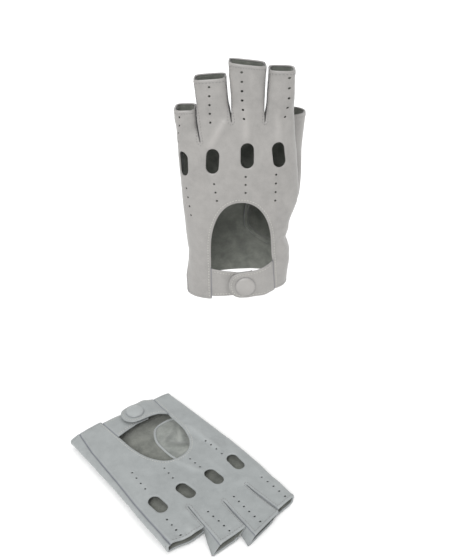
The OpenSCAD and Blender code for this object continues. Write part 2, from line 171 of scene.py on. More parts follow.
def front_top():
    """The pattern's upper outline over the back of the hand, from the side seam to the fold."""
    line = [(float(to_u(seam_s(112), 112)), HEMS[LITTLE][0])]
    for k, (slit_u, slit_v) in zip((RING, MIDDLE, INDEX), SLIT):
        down = np.linspace(HEMS[k - 1][1], slit_v + 1, 7)
        up = np.linspace(slit_v + 1, HEMS[k][0], 7)
        line += [(lookup(v, STRIP_THUMB_EDGE[k - 1]), v) for v in down] + [(slit_u, slit_v)]
        line += [(lookup(v, STRIP_LITTLE_EDGE[k]), v) for v in up]
    line.append((float(fold_u(136)), HEMS[INDEX][1]))
    return at(line)


def arch():
    """The opening over the wrist, with the two root seams of the tabs as its straight sides."""
    a = np.radians(np.linspace(0, 180, 41))
    return superellipse(a, ARCH_MIDDLE, ARCH_SPRING, ARCH_HALF, ARCH_TOP - ARCH_SPRING, 2.25)


def oval(k):
    u, v, turn = OVALS[k]
    reach = (OVAL_L - OVAL_W) / 2
    ring = np.vstack([arc((0, reach), OVAL_W / 2, 0, 180, 13), arc((0, -reach), OVAL_W / 2, 180, 360, 13)])
    ring[:, 0] *= 1 - 0.05 * (ring[:, 1] / OVAL_L) ** 2
    c, s = math.cos(math.radians(turn)), math.sin(math.radians(turn))
    return np.column_stack([u + ring[:, 0] * c - ring[:, 1] * s, v + ring[:, 0] * s + ring[:, 1] * c])


def perforations():
    for u, v, count, step, lean in STALL_ROWS + HAND_ROWS:
        for i in range(count):
            yield u + lean * i * step, v + i * step


def thumb_hole(n=64):
    return superellipse(np.linspace(0, 2 * np.pi, n, endpoint=False), *THUMB_HOLE, 2.3)


def on_palm(points):
    p = at(points)
    return np.column_stack([palm(p[:, 0]), p[:, 1]])


def runs(line):
    """Splits the upper outline into hems, which run across the fingers, and slits, which run along them."""
    out = []
    for a, b in zip(line[:-1], line[1:]):
        kind = "slit" if abs(b[1] - a[1]) > abs(b[0] - a[0]) else "hem"
        if out and out[-1][0] == kind:
            out[-1][1].append(b)
        else:
            out.append((kind, [a, b]))
    return [(kind, np.array(points)) for kind, points in out]


def trank_outline():
    """The trank's closed outline, in stretches: seams, hems, slits, and the opening over the wrist."""
    top = front_top()
    little_head, thumb_head = at(ROOT_HEADS[:1]), at(ROOT_HEADS[1:])
    little_foot, thumb_foot = at([(ROOT_FEET[0], cuff_v(ROOT_FEET[0]))]), at([(ROOT_FEET[1], cuff_v(25.4))])
    seam_foot = (float(seam_s(-20)), -19.6)
    hem_little = np.vstack([[seam_foot], at([(u, cuff_v(u)) for u in np.linspace(-38, -22, 9)]), little_foot])
    hem_back = at([(u, cuff_v(u)) for u in np.linspace(27, 42, 8)])
    hem_palm = np.linspace((FOLD, -12.4), (seam_foot[0] + GIRTH, seam_foot[1]), 30)[1:]
    seam_v = np.linspace(111, -18, 24)
    head = HEMS[LITTLE][0]
    back_seam = np.vstack([[(seam_s(head), head)], np.column_stack([seam_s(seam_v), seam_v]), [seam_foot]])
    palm_seam = (back_seam + (GIRTH, 0))[::-1]
    top[0] = back_seam[0]
    over_palm = np.column_stack([palm(top[1:-1, 0]), top[1:-1, 1]])
    palm_top = np.vstack([palm_seam[-1:], over_palm, top[-1:]])
    return [("seam", back_seam), ("hem", hem_little), ("root", np.vstack([little_foot, little_head])),
            ("arch", np.vstack([little_head, at(arch())[::-1], thumb_head])),
            ("root", np.vstack([thumb_head, thumb_foot])),
            ("hem", np.vstack([thumb_foot, hem_back, hem_palm])), ("seam", palm_seam)] \
        + runs(palm_top) + runs(top[::-1])


def trank_creases():
    """Lines that the triangles follow, where the stalls leave the hand."""
    spans = [(92.0, SLIT[0][0], to_u(seam_s(92), 92), 22),
             (105.0, lookup(105, STRIP_LITTLE_EDGE[RING]), SLIT[1][0], 18),
             (105.0, SLIT[1][0], SLIT[2][0], 18), (105.0, SLIT[2][0], fold_u(105), 18)]
    lines = [at([(u, v) for u in np.linspace(a, b, n)]) for v, a, b, n in spans]
    mirrored = [np.column_stack([palm(line[:, 0]), line[:, 1]]) for line in lines]
    mirrored[0] = np.vstack([mirrored[0], [(seam_s(92) + GIRTH, 92.0)]])
    return [resample(line, 1.1) for line in lines + mirrored]


# ---------------------------------------------------------------- triangulating a flat piece of leather
EDGE_RINGS = (0.45, 0.95, 1.45, 1.95, 2.6, 3.6)


def inside(points, loops):
    """Which points lie inside the first loop and outside the others."""
    odd = np.zeros(len(points), bool)
    x, y = points[:, 0], points[:, 1]
    for loop in loops:
        for (x0, y0), (x1, y1) in zip(loop, np.roll(loop, -1, axis=0)):
            if y0 != y1:
                odd ^= ((y0 <= y) != (y1 <= y)) & (x < x0 + (y - y0) * (x1 - x0) / (y1 - y0))
    return odd


def segments(line, closed=False):
    line = np.asarray(line, float)
    ends = np.roll(line, -1, axis=0) if closed else line[1:]
    return np.hstack([line if closed else line[:-1], ends])


def distance(points, segs):
    """Distance from each point to the nearest of some segments."""
    best = np.full(len(points), 99.0)
    if len(segs) == 0:
        return best
    a, d = segs[:, :2], segs[:, 2:] - segs[:, :2]
    length2 = np.maximum((d ** 2).sum(1), 1e-12)
    for i in range(0, len(points), 2000):
        p = points[i:i + 2000, None, :]
        t = np.clip(((p - a) * d).sum(2) / length2, 0, 1)
        gap = p - a - t[..., None] * d
        best[i:i + 2000] = np.sqrt((gap ** 2).sum(2)).min(1)
    return best


def sides(line, closed):
    """Unit vectors to the left of a line at each of its points."""
    before, after = np.roll(line, 1, axis=0), np.roll(line, -1, axis=0)
    if not closed:
        before[0], after[-1] = line[0], line[-1]
    along = after - before
    along /= np.maximum(np.linalg.norm(along, axis=1, keepdims=True), 1e-9)
    return np.column_stack([-along[:, 1], along[:, 0]])


def thin(points, gap):
    """Drops points that are closer than gap to one already kept."""
    kept, cells = [], {}
    for p in map(tuple, points):
        i, j = int(p[0] // gap), int(p[1] // gap)
        close = any(math.dist(p, q) < gap for di in (-1, 0, 1) for dj in (-1, 0, 1)
                    for q in cells.get((i + di, j + dj), ()))
        if not close:
            cells.setdefault((i, j), []).append(p)
            kept.append(p)
    return np.array(kept)


def far_from_edges(count, **near):
    """Distances to each kind of edge, which are large for the kinds that aren't given."""
    kinds = ("hem", "slit", "seam", "arch", "root", "oval", "thumb", "hole")
    return {**{kind: np.full(count, 99.0) for kind in kinds}, **near}


class Cut:
    """A piece cut from flat leather: its triangles, and how far places are from each kind of edge."""

    def __init__(self, stretches, cuts=(), creases=(), holes=(), pitch=1.7, step=1.2, edge_rings=EDGE_RINGS):
        stretches = [(kind, resample(line, step)) for kind, line in stretches]
        cuts = [(kind, resample(loop, step, True)) for kind, loop in cuts]
        outline = np.vstack([line[:-1] for _, line in stretches])
        self.loops = [outline] + [loop for _, loop in cuts] + list(holes)
        self.lines = [(kind, line, False) for kind, line in stretches] + [(k, loop, True) for k, loop in cuts]
        self.kinds = {}
        for kind, line, closed in self.lines:
            self.kinds.setdefault(kind, []).append(segments(line, closed))
        self.kinds = {k: np.vstack(v) for k, v in self.kinds.items()}
        self.edges = np.vstack(list(self.kinds.values()))
        self.kinds["hole"] = np.vstack([segments(h, True) for h in holes]) if holes else np.zeros((0, 4))
        self._triangulate(creases, holes, pitch, edge_rings)
        self.near = self.nearness(self.places)

    def nearness(self, points):
        return far_from_edges(len(points), **{k: distance(points, segs) for k, segs in self.kinds.items()})

    def _triangulate(self, creases, holes, pitch, edge_rings):
        points, edges, extra = [], [], []
        for line, closed in [(loop, True) for loop in self.loops] + [(c, False) for c in creases]:
            first, n = len(points), len(line)
            points.extend(map(tuple, line))
            edges.extend((first + i, first + (i + 1) % n) for i in range(n if closed else n - 1))
        for _, line, closed in self.lines:
            side = sides(line, closed)
            for offset in edge_rings:
                ring = np.vstack([line + side * offset, line - side * offset])
                ring = ring[inside(ring, self.loops)]
                clear = distance(ring, self.edges) > 0.93 * offset
                extra.append(ring[clear & (distance(ring, self.kinds["hole"]) > 0.5)])
        for hole in holes:
            middle = hole.mean(0)
            extra.append(middle + (hole - middle) * 1.5)
            extra.append(middle + (np.roll(hole, 1, axis=0) - middle) * 2.3)
        low, high = self.loops[0].min(0), self.loops[0].max(0)
        across = np.arange(low[0], high[0], pitch)
        grid = np.vstack([np.column_stack([across + (i % 2) * pitch / 2, np.full(len(across), v)])
                          for i, v in enumerate(np.arange(low[1], high[1], pitch * 0.866))])
        grid = grid[inside(grid, self.loops)]
        clear = distance(grid, self.edges) > edge_rings[-1] + 0.6
        extra.append(grid[clear & (distance(grid, self.kinds["hole"]) > 2.0)])
        extra = np.vstack(extra)
        if len(creases):
            extra = extra[distance(extra, np.vstack([segments(c) for c in creases])) > 0.35]
        places = np.vstack([points, thin(extra, 0.38)])
        result = delaunay_2d_cdt([Vector(p) for p in places], edges, [], 0, 1e-4)
        self.places = np.array([tuple(v) for v in result[0]])
        faces = np.array([f for f in result[2] if len(f) == 3])
        faces = faces[inside(self.places[faces].mean(1), self.loops)]
        a, b, c = (self.places[faces[:, i]] for i in range(3))
        turned = (b[:, 0] - a[:, 0]) * (c[:, 1] - a[:, 1]) < (b[:, 1] - a[:, 1]) * (c[:, 0] - a[:, 0])
        faces[turned] = faces[turned][:, ::-1]
        self.faces = faces

    def inset_lines(self, kind, offset):
        """Lines beside the edges of one kind, an offset inside the piece."""
        for k, line, closed in self.lines:
            if k != kind:
                continue
            fine = resample(line, 0.5, closed)
            side = sides(fine, closed)
            for sign in (1, -1):
                beside = fine + side * offset * sign
                good = inside(beside, self.loops) & (distance(beside, self.edges) > 0.94 * offset)
                if closed and good.all():
                    yield np.vstack([beside, beside[:1]])
                    continue
                for run in np.split(np.arange(len(beside)), np.where(~good)[0]):
                    run = run[good[run]]
                    if len(run) > 3:
                        yield beside[run]


def finger_of(s, v):
    """HAND or the finger that a place belongs to, from its place on the pattern."""
    over = np.where(s < FOLD, s, palm(s))
    k = sum((over > to_s(lookup(v, STRIP_LITTLE_EDGE[j]) - 0.5, v)).astype(int)
            for j in (RING, MIDDLE, INDEX))
    return np.where(v > np.array(BASE)[k], k, HAND)


TRANK = Cut(trank_outline(), [("oval", at(oval(k))) for k in range(4)] + [("thumb", on_palm(thumb_hole()))],
            trank_creases(), [at(arc(p, HOLE_R, 0, 324, 10)) for p in perforations()])


# ---------------------------------------------------------------- the two shapes
def section(angle, middle, half, back, palm_depth, roundness):
    """A rounded outline: angle 0 is the thumb side, 270 the back of the hand. Returns across and depth."""
    c, s = np.cos(np.radians(angle)), np.sin(np.radians(angle))
    depth = np.where(s < 0, back, palm_depth)
    return middle + half * power(c, 2 / roundness), depth * power(s, 2 / roundness)


class Table:
    """Places (across, depth) on a grid of s and v, read between its rows and columns."""
    STEP_S, STEP_V = 0.5, 2.0
    S = np.arange(-92, 200.01, STEP_S)
    V = np.arange(-28, 150.01, STEP_V)

    def __init__(self, row):
        self.xy = np.array([row(v, self.S) for v in self.V])

    def __call__(self, s, v):
        i = np.clip((v - self.V[0]) / self.STEP_V, 0, len(self.V) - 1.001)
        j = np.clip((s - self.S[0]) / self.STEP_S, 0, len(self.S) - 1.001)
        i0, j0 = i.astype(int), j.astype(int)
        fi, fj = (i - i0)[:, None], (j - j0)[:, None]
        t = self.xy.transpose(0, 2, 1)
        return ((t[i0, j0] * (1 - fj) + t[i0, j0 + 1] * fj) * (1 - fi)
                + (t[i0 + 1, j0] * (1 - fj) + t[i0 + 1, j0 + 1] * fj) * fi)


ANGLES = np.linspace(0, 1080, 2161)
HALF_TURN, TURN = 360, 720     # in steps of ANGLES; a half turn is at the little-finger side
CORNER = 0.95      # how far out a finger strip's edge lies, as a share of the stall's half width


def outline_arc(middle, half, back, palm_depth, roundness):
    x, y = section(ANGLES, middle, half, back, palm_depth, roundness)
    length = np.concatenate([[0], np.cumsum(np.hypot(np.diff(x), np.diff(y)))])
    return x, y, length


def palm_length(x, length, across):
    """Length along an outline to the place on its palm side that lies an amount across."""
    i = TURN + int(np.argmax(x[TURN:TURN + HALF_TURN] < across))
    return float(np.interp(across, [x[i], x[i - 1]], [length[i], length[i - 1]]))


class Glove:
    """One glove's shape: maps the pattern to the row frame."""

    def __init__(self, prefix, shape, folds, blend_over):
        self.prefix, self.shape, self.folds, self.blend_over = prefix, shape, folds, blend_over
        self.hand = Table(self.hand_row)
        self.fingers = [Table(lambda v, s, k=k: self.finger_row(k, v, s)) for k in range(4)]

    def hand_row(self, v, s):
        """Across and depth of places along the hand's outline at one v."""
        g = self.shape
        right, left = g["thumb_edge"](v), g["little_edge"](v)
        x, y, length = outline_arc((right + left) / 2, (right - left) / 2, g["back"](v), g["palm"](v),
                                   g["round"])
        little, turn = length[HALF_TURN], length[TURN]
        zero = HALF_TURN + int(np.argmax(x[HALF_TURN:TURN] > 0))
        zero_length = np.interp(0, x[zero - 1:zero + 1], length[zero - 1:zero + 1])
        if g["pinned"]:
            pins = [(LITTLE_SIDE, little), (0, zero_length), (FOLD, turn),
                    (2 * FOLD, palm_length(x, length, 0)), (LITTLE_SIDE + GIRTH, little + turn)]
        else:
            seam = float(seam_s(v))
            seam_length = zero_length + float(to_u(seam, v))
            ends = (FOLD, zero_length + float(fold_u(v))), (seam + GIRTH, seam_length + turn)
            pins = [(seam, seam_length), (0, zero_length), ends[0]]
            near_fingers = float(smooth((v - 64) / 20))
            for u, slit_v in SLIT[::-1]:     # the palm's strips come out opposite those of the back
                s_palm = float(palm(to_s(u, slit_v)))
                opposite = palm_length(x, length, u)
                free = float(np.interp(s_palm, *zip(*ends)))
                pins.append((s_palm, free + (opposite - free) * near_fingers))
            pins.append(ends[1])
        s_pin, length_pin = np.array(pins[:-1]).T
        s_all = np.concatenate([s_pin + GIRTH * i for i in (-1, 0, 1)])
        length_all = np.concatenate([length_pin + turn * i for i in (-1, 0, 1)])
        where = np.mod(np.interp(s, s_all, length_all), turn)
        return np.array([np.interp(where, length, x), np.interp(where, length, y)])

    def finger_row(self, k, v, s):
        """Across and depth of places along a finger's outline at one v."""
        g = self.shape
        left, right, depth, shear = g["stall"](k, v)
        half = (right - left) / 2 / CORNER
        middle = (right + left) / 2
        if k in (LITTLE, INDEX):
            half = (right - left) / (1 + CORNER)
            middle = right - half if k == INDEX else left + half
        n = g["stall_round"]
        x, y, length = outline_arc(middle, half, depth, depth, n)
        x = x - shear * (y + depth) / (2 * depth)
        corner = math.degrees(math.acos(CORNER ** (n / 2)))

        def at_angle(a):
            return float(np.interp(a, ANGLES, length))

        v_edge = max(v, BASE[k])
        if k != LITTLE:
            s_left = float(to_s(lookup(v_edge, STRIP_LITTLE_EDGE[k]), v_edge))
        if k != INDEX:
            s_right = float(to_s(lookup(v_edge, STRIP_THUMB_EDGE[k]), v_edge))
        before, a, b, c, d = (at_angle(t) for t in (180 - corner, 180 + corner, 360 - corner, 360 + corner,
                                                    540 - corner))
        if k == INDEX:
            pins = [(s_left - 20, before), (s_left, a), (FOLD, at_angle(360)), (palm(s_left), d)]
        elif k == LITTLE:
            pins = [(palm(s_right) - GIRTH, at_angle(corner)), (LITTLE_SIDE, at_angle(180)), (s_right, b),
                    (palm(s_right), c)]
        else:
            pins = [(s_left - 20, before), (s_left, a), (s_right, b), (palm(s_right), c), (palm(s_left), d)]
        where = np.interp(s, [p[0] for p in pins], [p[1] for p in pins])
        return np.array([np.interp(where, length, x), np.interp(where, length, y)])

    def flat(self, s, v, part):
        """Across and depth of places, before folds."""
        s, v, part = np.broadcast_arrays(np.asarray(s, float), np.asarray(v, float), part)
        xy = self.hand(s, v)
        for k in range(4):
            mine = part == k
            if mine.any():
                sk = np.where((k == LITTLE) & (s[mine] > 2 * FOLD), s[mine] - GIRTH, s[mine])
                w = smooth((v[mine] - BASE[k]) / self.blend_over)[:, None]
                xy[mine] = xy[mine] * (1 - w) + self.fingers[k](sk, v[mine]) * w
        return xy

    def plain(self, s, v, part):
        return self.shape["place"](self.flat(s, v, part), np.asarray(v, float))

    def normal(self, s, v, part):
        """Outward direction of the plain surface."""
        h = 0.6
        across = self.plain(s + h, v, part) - self.plain(s - h, v, part)
        along = self.plain(s, v + h, part) - self.plain(s, v - h, part)
        n = np.cross(across, along) * self.shape["outward"]
        return n / np.maximum(np.linalg.norm(n, axis=1, keepdims=True), 1e-9)

    def lifted(self, places, lift, part=HAND):
        """Places at a height above the plain surface."""
        s, v = places.T
        return self.plain(s, v, part) + self.normal(s, v, part) * np.reshape(lift, (-1, 1))

    def surface(self, places, part, near=None, proud=0.0):
        """Places on the trank's outer face, with folds and pressed edges, standing proud by an amount."""
        s, v = places[:, 0], places[:, 1]
        lift = edge_relief(near or TRANK.nearness(places)) + fold_relief(s, v, self.folds) + proud
        return self.lifted(places, lift, part)


def edge_relief(d):
    """Height of leather above its plain shape at turned hems, stitch grooves and sunk seams."""
    turned = np.minimum(np.minimum(d["hem"], d["arch"]), 99)
    lift = 0.22 * smooth((3.4 - turned) / 1.0) - 0.45 * (1 - smooth(turned / 0.8))
    lift -= 0.22 * np.exp(-((turned - 2.0) / 0.42) ** 2)
    lift += 0.12 * smooth((2.4 - d["slit"]) / 0.8) - 0.5 * (1 - smooth(d["slit"] / 0.9))
    lift -= 0.16 * np.exp(-((d["slit"] - 1.5) / 0.4) ** 2)
    lift -= 0.45 * (1 - smooth(d["seam"] / 0.9)) - 0.15 * np.exp(-((d["seam"] - 1.5) / 0.8) ** 2)
    lift -= 0.5 * (1 - smooth(d["root"] / 1.2))
    lift += 0.10 * np.exp(-((d["oval"] - 1.2) / 0.8) ** 2) - 0.35 * (1 - smooth(d["oval"] / 0.7))
    lift -= 0.5 * (1 - smooth(d["thumb"] / 1.2))
    return lift - 0.14 * (1 - smooth(d["hole"] / 0.6))


def fold_relief(s, v, folds):
    """Height of the folds, and of the leather's slight unevenness."""
    lift = np.zeros(len(s))
    for s0, v0, s1, v1, width, height in folds:
        from_start = np.column_stack([s - s0, v - v0])
        along = np.array([s1 - s0, v1 - v0], float)
        t = (from_start @ along) / (along @ along)
        taper = np.clip(1 - (2 * np.clip(t, 0, 1) - 1) ** 2, 0, 1) ** 0.6
        beside = np.abs(from_start @ np.array([-along[1], along[0]]) / np.hypot(*along))
        lift += height * taper * np.exp(-(beside / width) ** 2) * ((t > 0) & (t < 1))
    lift += 0.10 * np.sin(s * 0.31 + 1.3 * np.sin(v * 0.11)) * np.sin(v * 0.23 + 0.7 * np.sin(s * 0.17))
    lift += 0.05 * np.sin(s * 0.83 + 2.1 * np.sin(v * 0.37)) * np.sin(v * 0.71 + 1.9)
    return lift


def upright_shape():
    def stall(k, v):
        low = [(-40.4, -25.9), (-26.0, -5.8), (-4.6, 15.4), (16.6, 34.6)][k]
        high = [(-41.2, -27.4), (-28.6, -8.2), (-6.9, 16.6), (17.8, 34.3)][k]
        t = np.clip((v - BASE[k]) / (HEMS[k][0] - BASE[k]), 0, 1)
        return (low[0] + (high[0] - low[0]) * t, low[1] + (high[1] - low[1]) * t, 10.4 - 0.8 * t, 0.0)

    def place(xy, v):
        return np.column_stack([xy[:, 0], xy[:, 1], v + ZERO_LEVEL])

    return dict(
        little_edge=lambda v: lookup(v, [(-20, -37.4), (-8, -37.6), (4, -35.6), (12, -35.2), (22, -36.1),
                                         (44, -37.8), (66, -39), (94, -40.4), (112, -41)]),
        thumb_edge=lambda v: lookup(v, [(-20, 33), (-6, 34.2), (5, 35.4), (12, 35.8), (17, 34.4), (22, 32.6),
                                        (27, 33.2), (34, 34.4), (41, 36.2), (49, 39.2), (57, 40), (68, 39),
                                        (80, 37.6), (95, 35.8), (110, 34.6)]),
        back=lambda v: lookup(v, [(-20, 17.6), (20, 16), (60, 14.6), (84, 14), (108, 10.6)]),
        palm=lambda v: lookup(v, [(-20, 24), (30, 21), (70, 16.5), (108, 10.6)]),
        round=2.4, pinned=False, stall=stall, stall_round=3.4, place=place, outward=1.0)


LYING_TURN = math.radians(46.2)
LYING_AT = np.array([-79.7, -19.6, -120.7])
ALONG = np.array([math.cos(LYING_TURN), -math.sin(LYING_TURN), 0.0])
ACROSS = np.array([math.sin(LYING_TURN), math.cos(LYING_TURN), 0.0])
UP = np.array([0.0, 0.0, 1.0])


def lie(across, along, height):
    """A place on the lying glove, in the row frame, from its place on the flat glove and its height."""
    across, along, height = (np.asarray(a, float).reshape(-1, 1) for a in (across, along, height))
    return LYING_AT + across * ACROSS + along * ALONG + height * UP


def lying_shape():
    def middle_level(v):
        return lookup(v, [(90, 5.8), (112, 5.0), (140, 4.4)])

    def stall(k, v):
        low = [(-55.5, -25.5), (-26.6, -5.3), (-4.8, 15.7), (16.3, 37.6)][k]
        high = [(-55.8, -27.8), (-29.6, -7.8), (-8.4, 16.9), (17.4, 34.0)][k]
        t = np.clip((v - BASE[k]) / (HEMS[k][0] - BASE[k]), 0, 1)
        shear = [0.0, 8.5, 8.0, 2.0][k] * t
        return (low[0] + (high[0] - low[0]) * t, low[1] + (high[1] - low[1]) * t, 3.3, shear)

    def place(xy, v):
        drawn = 0.04 * np.maximum(v - 100, 0) + 3.5 * smooth((-38 - xy[:, 0]) / 14) * smooth((v - 92) / 20)
        return lie(xy[:, 0], v - drawn, middle_level(v) - xy[:, 1])

    return dict(
        little_edge=little_side_u, thumb_edge=fold_u,
        back=lambda v: 3.2,
        palm=lambda v: lookup(v, [(-20, 4.6), (0, 4.2), (16, 3.2)]),
        round=3.4, pinned=True, stall=stall, stall_round=6.5, place=place, outward=-1.0)


# ---------------------------------------------------------------- making meshes
def vertex_normals(points, faces):
    a, b, c = (points[faces[:, i]] for i in range(3))
    flat, out = np.cross(b - a, c - a), np.zeros_like(points)
    for i in range(3):
        np.add.at(out, faces[:, i], flat)
    return out / np.maximum(np.linalg.norm(out, axis=1, keepdims=True), 1e-12)


class Solid:
    """A surface given thickness, with a rounded rim.

    It holds places, directions and faces, and which part owns each face.
    """

    def __init__(self, points, faces, thickness=LEATHER, bead=0.3, values=None, owners=None):
        n = len(points)
        owners = np.zeros(len(faces), int) if owners is None else owners
        normals = vertex_normals(points, faces)
        lining = points - normals * np.broadcast_to(thickness, n)[:, None]
        edges = np.vstack([faces[:, [0, 1]], faces[:, [1, 2]], faces[:, [2, 0]]])
        owner = np.tile(np.arange(len(faces)), 3)
        rim = ~np.isin(edges[:, 0] * n + edges[:, 1], edges[:, 1] * n + edges[:, 0])
        edges, owner = edges[rim], owner[rim]
        outward = np.zeros_like(points)
        across = np.cross(points[edges[:, 1]] - points[edges[:, 0]], normals[edges[:, 0]])
        np.add.at(outward, edges[:, 0], across)
        np.add.at(outward, edges[:, 1], across)
        on_rim = np.unique(edges)
        outward = outward[on_rim]
        outward /= np.maximum(np.linalg.norm(outward, axis=1, keepdims=True), 1e-12)
        middle = (points[on_rim] + lining[on_rim]) / 2 + outward * bead
        number = np.zeros(n, int)
        number[on_rim] = np.arange(len(on_rim)) + 2 * n
        a, b = edges[:, 0], edges[:, 1]
        self.points = np.vstack([points, lining, middle])
        self.normals = np.vstack([normals, -normals, outward])
        self.faces = (faces.tolist() + (faces[:, ::-1] + n).tolist()
                      + np.column_stack([b, a, number[a], number[b]]).tolist()
                      + np.column_stack([number[b], number[a], a + n, b + n]).tolist())
        self.owner = np.concatenate([owners, owners, owners[owner], owners[owner]])
        self.slot = np.repeat([0, 1, 0], [len(faces), len(faces), 2 * len(owner)])
        self.values = {k: np.concatenate([x, x, x[on_rim]]) for k, x in (values or {}).items()}


def add_object(name, mesh):
    mesh.polygons.foreach_set("use_smooth", np.ones(len(mesh.polygons), bool))
    obj = bpy.data.objects.new(name, mesh)
    bpy.context.scene.collection.objects.link(obj)
    return obj


def make(name, solid, materials, replaces=(), part=None):
    """A mesh object from a solid, or from the faces of it that one part owns."""
    chosen = range(len(solid.faces)) if part is None else np.where(solid.owner == part)[0]
    faces = [solid.faces[i] for i in chosen]
    used = np.unique([i for f in faces for i in f])
    renumber = np.zeros(len(solid.points), int)
    renumber[used] = np.arange(len(used))
    mesh = bpy.data.meshes.new(name)
    mesh.from_pydata((solid.points[used] * MM).tolist(), [], [[int(renumber[i]) for i in f] for f in faces])
    for material in materials:
        mesh.materials.append(material)
    slots = np.minimum(solid.slot[chosen], len(materials) - 1)
    mesh.polygons.foreach_set("material_index", slots.astype(np.int32))
    for key, values in solid.values.items():
        layer = mesh.attributes.new(key, "FLOAT", "POINT")
        layer.data.foreach_set("value", values[used].astype(np.float32))
    obj = add_object(name, mesh)
    mesh.normals_split_custom_set_from_vertices(solid.normals[used].tolist())
    if replaces:
        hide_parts(*replaces)
    return obj


def grid_faces(rows, cols, ring=False):
    spans = cols if ring else cols - 1
    quads = [(i * cols + j, i * cols + (j + 1) % cols, (i + 1) * cols + (j + 1) % cols, (i + 1) * cols + j)
             for i in range(rows - 1) for j in range(spans)]
    return np.array([t for a, b, c, d in quads for t in ((a, b, c), (a, c, d))])


def facing(points, faces, middle):
    """The faces, turned over if most of them face the middle, or each its own middle."""
    a, b, c = (points[faces[:, i]] for i in range(3))
    away = (np.cross(b - a, c - a) * ((a + b + c) / 3 - middle)).sum()
    return faces if away > 0 else faces[:, ::-1]


def attach(obj, glove, part):
    """Rides on the hand. A finger's piece gets its transform baked, and the ends of the first stretch of its
    stall are worked out, but nothing uses them.
    """
    if part == HAND:
        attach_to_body(obj, glove.prefix + "hand")
        return
    v0, v1 = BASE[part] + 0.5, BASE[part] + (14 if part == LITTLE else 12)
    little_edge = -55 if part == LITTLE else float(lookup(v1, STRIP_LITTLE_EDGE[part]))
    u = little_edge + 10
    start, end = (tuple(glove.shape["place"](np.array([[u, 0.0]]), np.array([v]))[0] * MM) for v in (v0, v1))
    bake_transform(obj)
    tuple(start)
    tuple(end)


# ---------------------------------------------------------------- the trank
# Dark dye beside edges and seams: kind, share, how far it reaches
DYED = [("seam", 1.0, 0.7), ("root", 0.9, 0.6), ("slit", 0.45, 0.45), ("oval", 0.35, 0.45),
        ("thumb", 0.9, 0.6), ("hem", 0.35, 0.4), ("arch", 0.15, 0.4)]


def dye_and_painted_light(near, lift=0.0):
    """Two values from 0 to 1: how close to an edge or seam, for the dark dye, and how high a fold lifts the
    leather, which paints fold ridges lighter as a painted highlight and, in the suede, hollows darker as
    painted shade.
    """
    edge = np.maximum.reduce([share * np.exp(-(near[k] / reach) ** 1.5) for k, share, reach in DYED])
    return {"edge": edge, "lift_and_painted_light": np.clip(0.5 + lift * 0.6 + 0 * edge, 0, 1)}


def trank(glove):
    s, v = TRANK.places.T
    part = finger_of(s, v)
    points = glove.surface(TRANK.places, part, TRANK.near)
    faces = TRANK.faces if glove.shape["outward"] > 0 else TRANK.faces[:, ::-1]
    turned = np.minimum(TRANK.near["hem"], TRANK.near["arch"])
    thickness = LEATHER + 0.55 * smooth((3.2 - turned) / 0.8) + 0.3 * smooth((2.2 - TRANK.near["slit"]) / 0.8)
    middles = TRANK.places[TRANK.faces].mean(1)
    owners = finger_of(middles[:, 0], middles[:, 1])
    # The second value paints fold ridges paler, a painted highlight, and on the suede side paints the hollows
    # darker, a painted shade.
    values = dye_and_painted_light(TRANK.near, fold_relief(s, v, glove.folds))
    solid = Solid(points, faces, thickness, 0.35, values, owners)
    for k in (HAND, LITTLE, RING, MIDDLE, INDEX):
        node = glove.prefix + ("trank" if k == HAND else NAMES[k] + "_stall")
        name = glove.prefix + ("hand" if k == HAND else NAMES[k] + "_strips")
        obj = make(name, solid, [glove.leather, SUEDE], [node], part=k)
        attach(obj, glove, k)


def fourchette(glove, k, thumb_side, node):
    """The gusset down one side of a finger, from the trank's front strip to its palm strip."""
    table = (STRIP_THUMB_EDGE if thumb_side else STRIP_LITTLE_EDGE)[k]
    v = np.linspace(SLIT[k if thumb_side else k - 1][1], HEMS[k][1 if thumb_side else 0] - 0.3, 28)
    s = to_s(lookup(v, table), v)
    part = np.where(v > BASE[k], k, HAND)
    front = glove.surface(np.column_stack([s, v]), part, proud=-0.25)
    back = glove.surface(np.column_stack([palm(s), v]), part, proud=-0.25)
    cols = 15
    w = smooth((v - BASE[k]) / glove.blend_over)[:, None]
    rows = np.empty((len(v), cols, 3))

    def side(t):
        over = s + (palm(s) - s) * t if thumb_side or k == LITTLE else s - 20 * t
        return glove.shape["place"](glove.fingers[k](over, v), v)

    ends = side(0.0), side(1.0)
    for j, t in enumerate(np.linspace(0, 1, cols)):
        chord = front * (1 - t) + back * t
        round_side = side(t) + (front - ends[0]) * (1 - t) + (back - ends[1]) * t
        rows[:, j] = chord * (1 - w) + round_side * w
    points = rows.reshape(-1, 3)
    in_finger = float(lookup(110, table)) + (-8 if thumb_side else 8)
    middle = glove.shape["place"](np.array([[in_finger, 0.0]]), np.array([118.0]))[0]
    faces = facing(points, grid_faces(len(v), cols), middle)
    hem = np.repeat(HEMS[k][1 if thumb_side else 0] - v, cols)
    seam = np.tile(np.minimum(np.linspace(0, 8, cols), np.linspace(8, 0, cols)), len(v))
    solid = Solid(points, faces, 0.8, 0.25, dye_and_painted_light(far_from_edges(len(hem), hem=hem, seam=seam)))
    obj = make(glove.prefix + node.replace("_fourchette", "_gusset"), solid, [glove.gusset, SUEDE],
               [glove.prefix + node])
    attach(obj, glove, k)


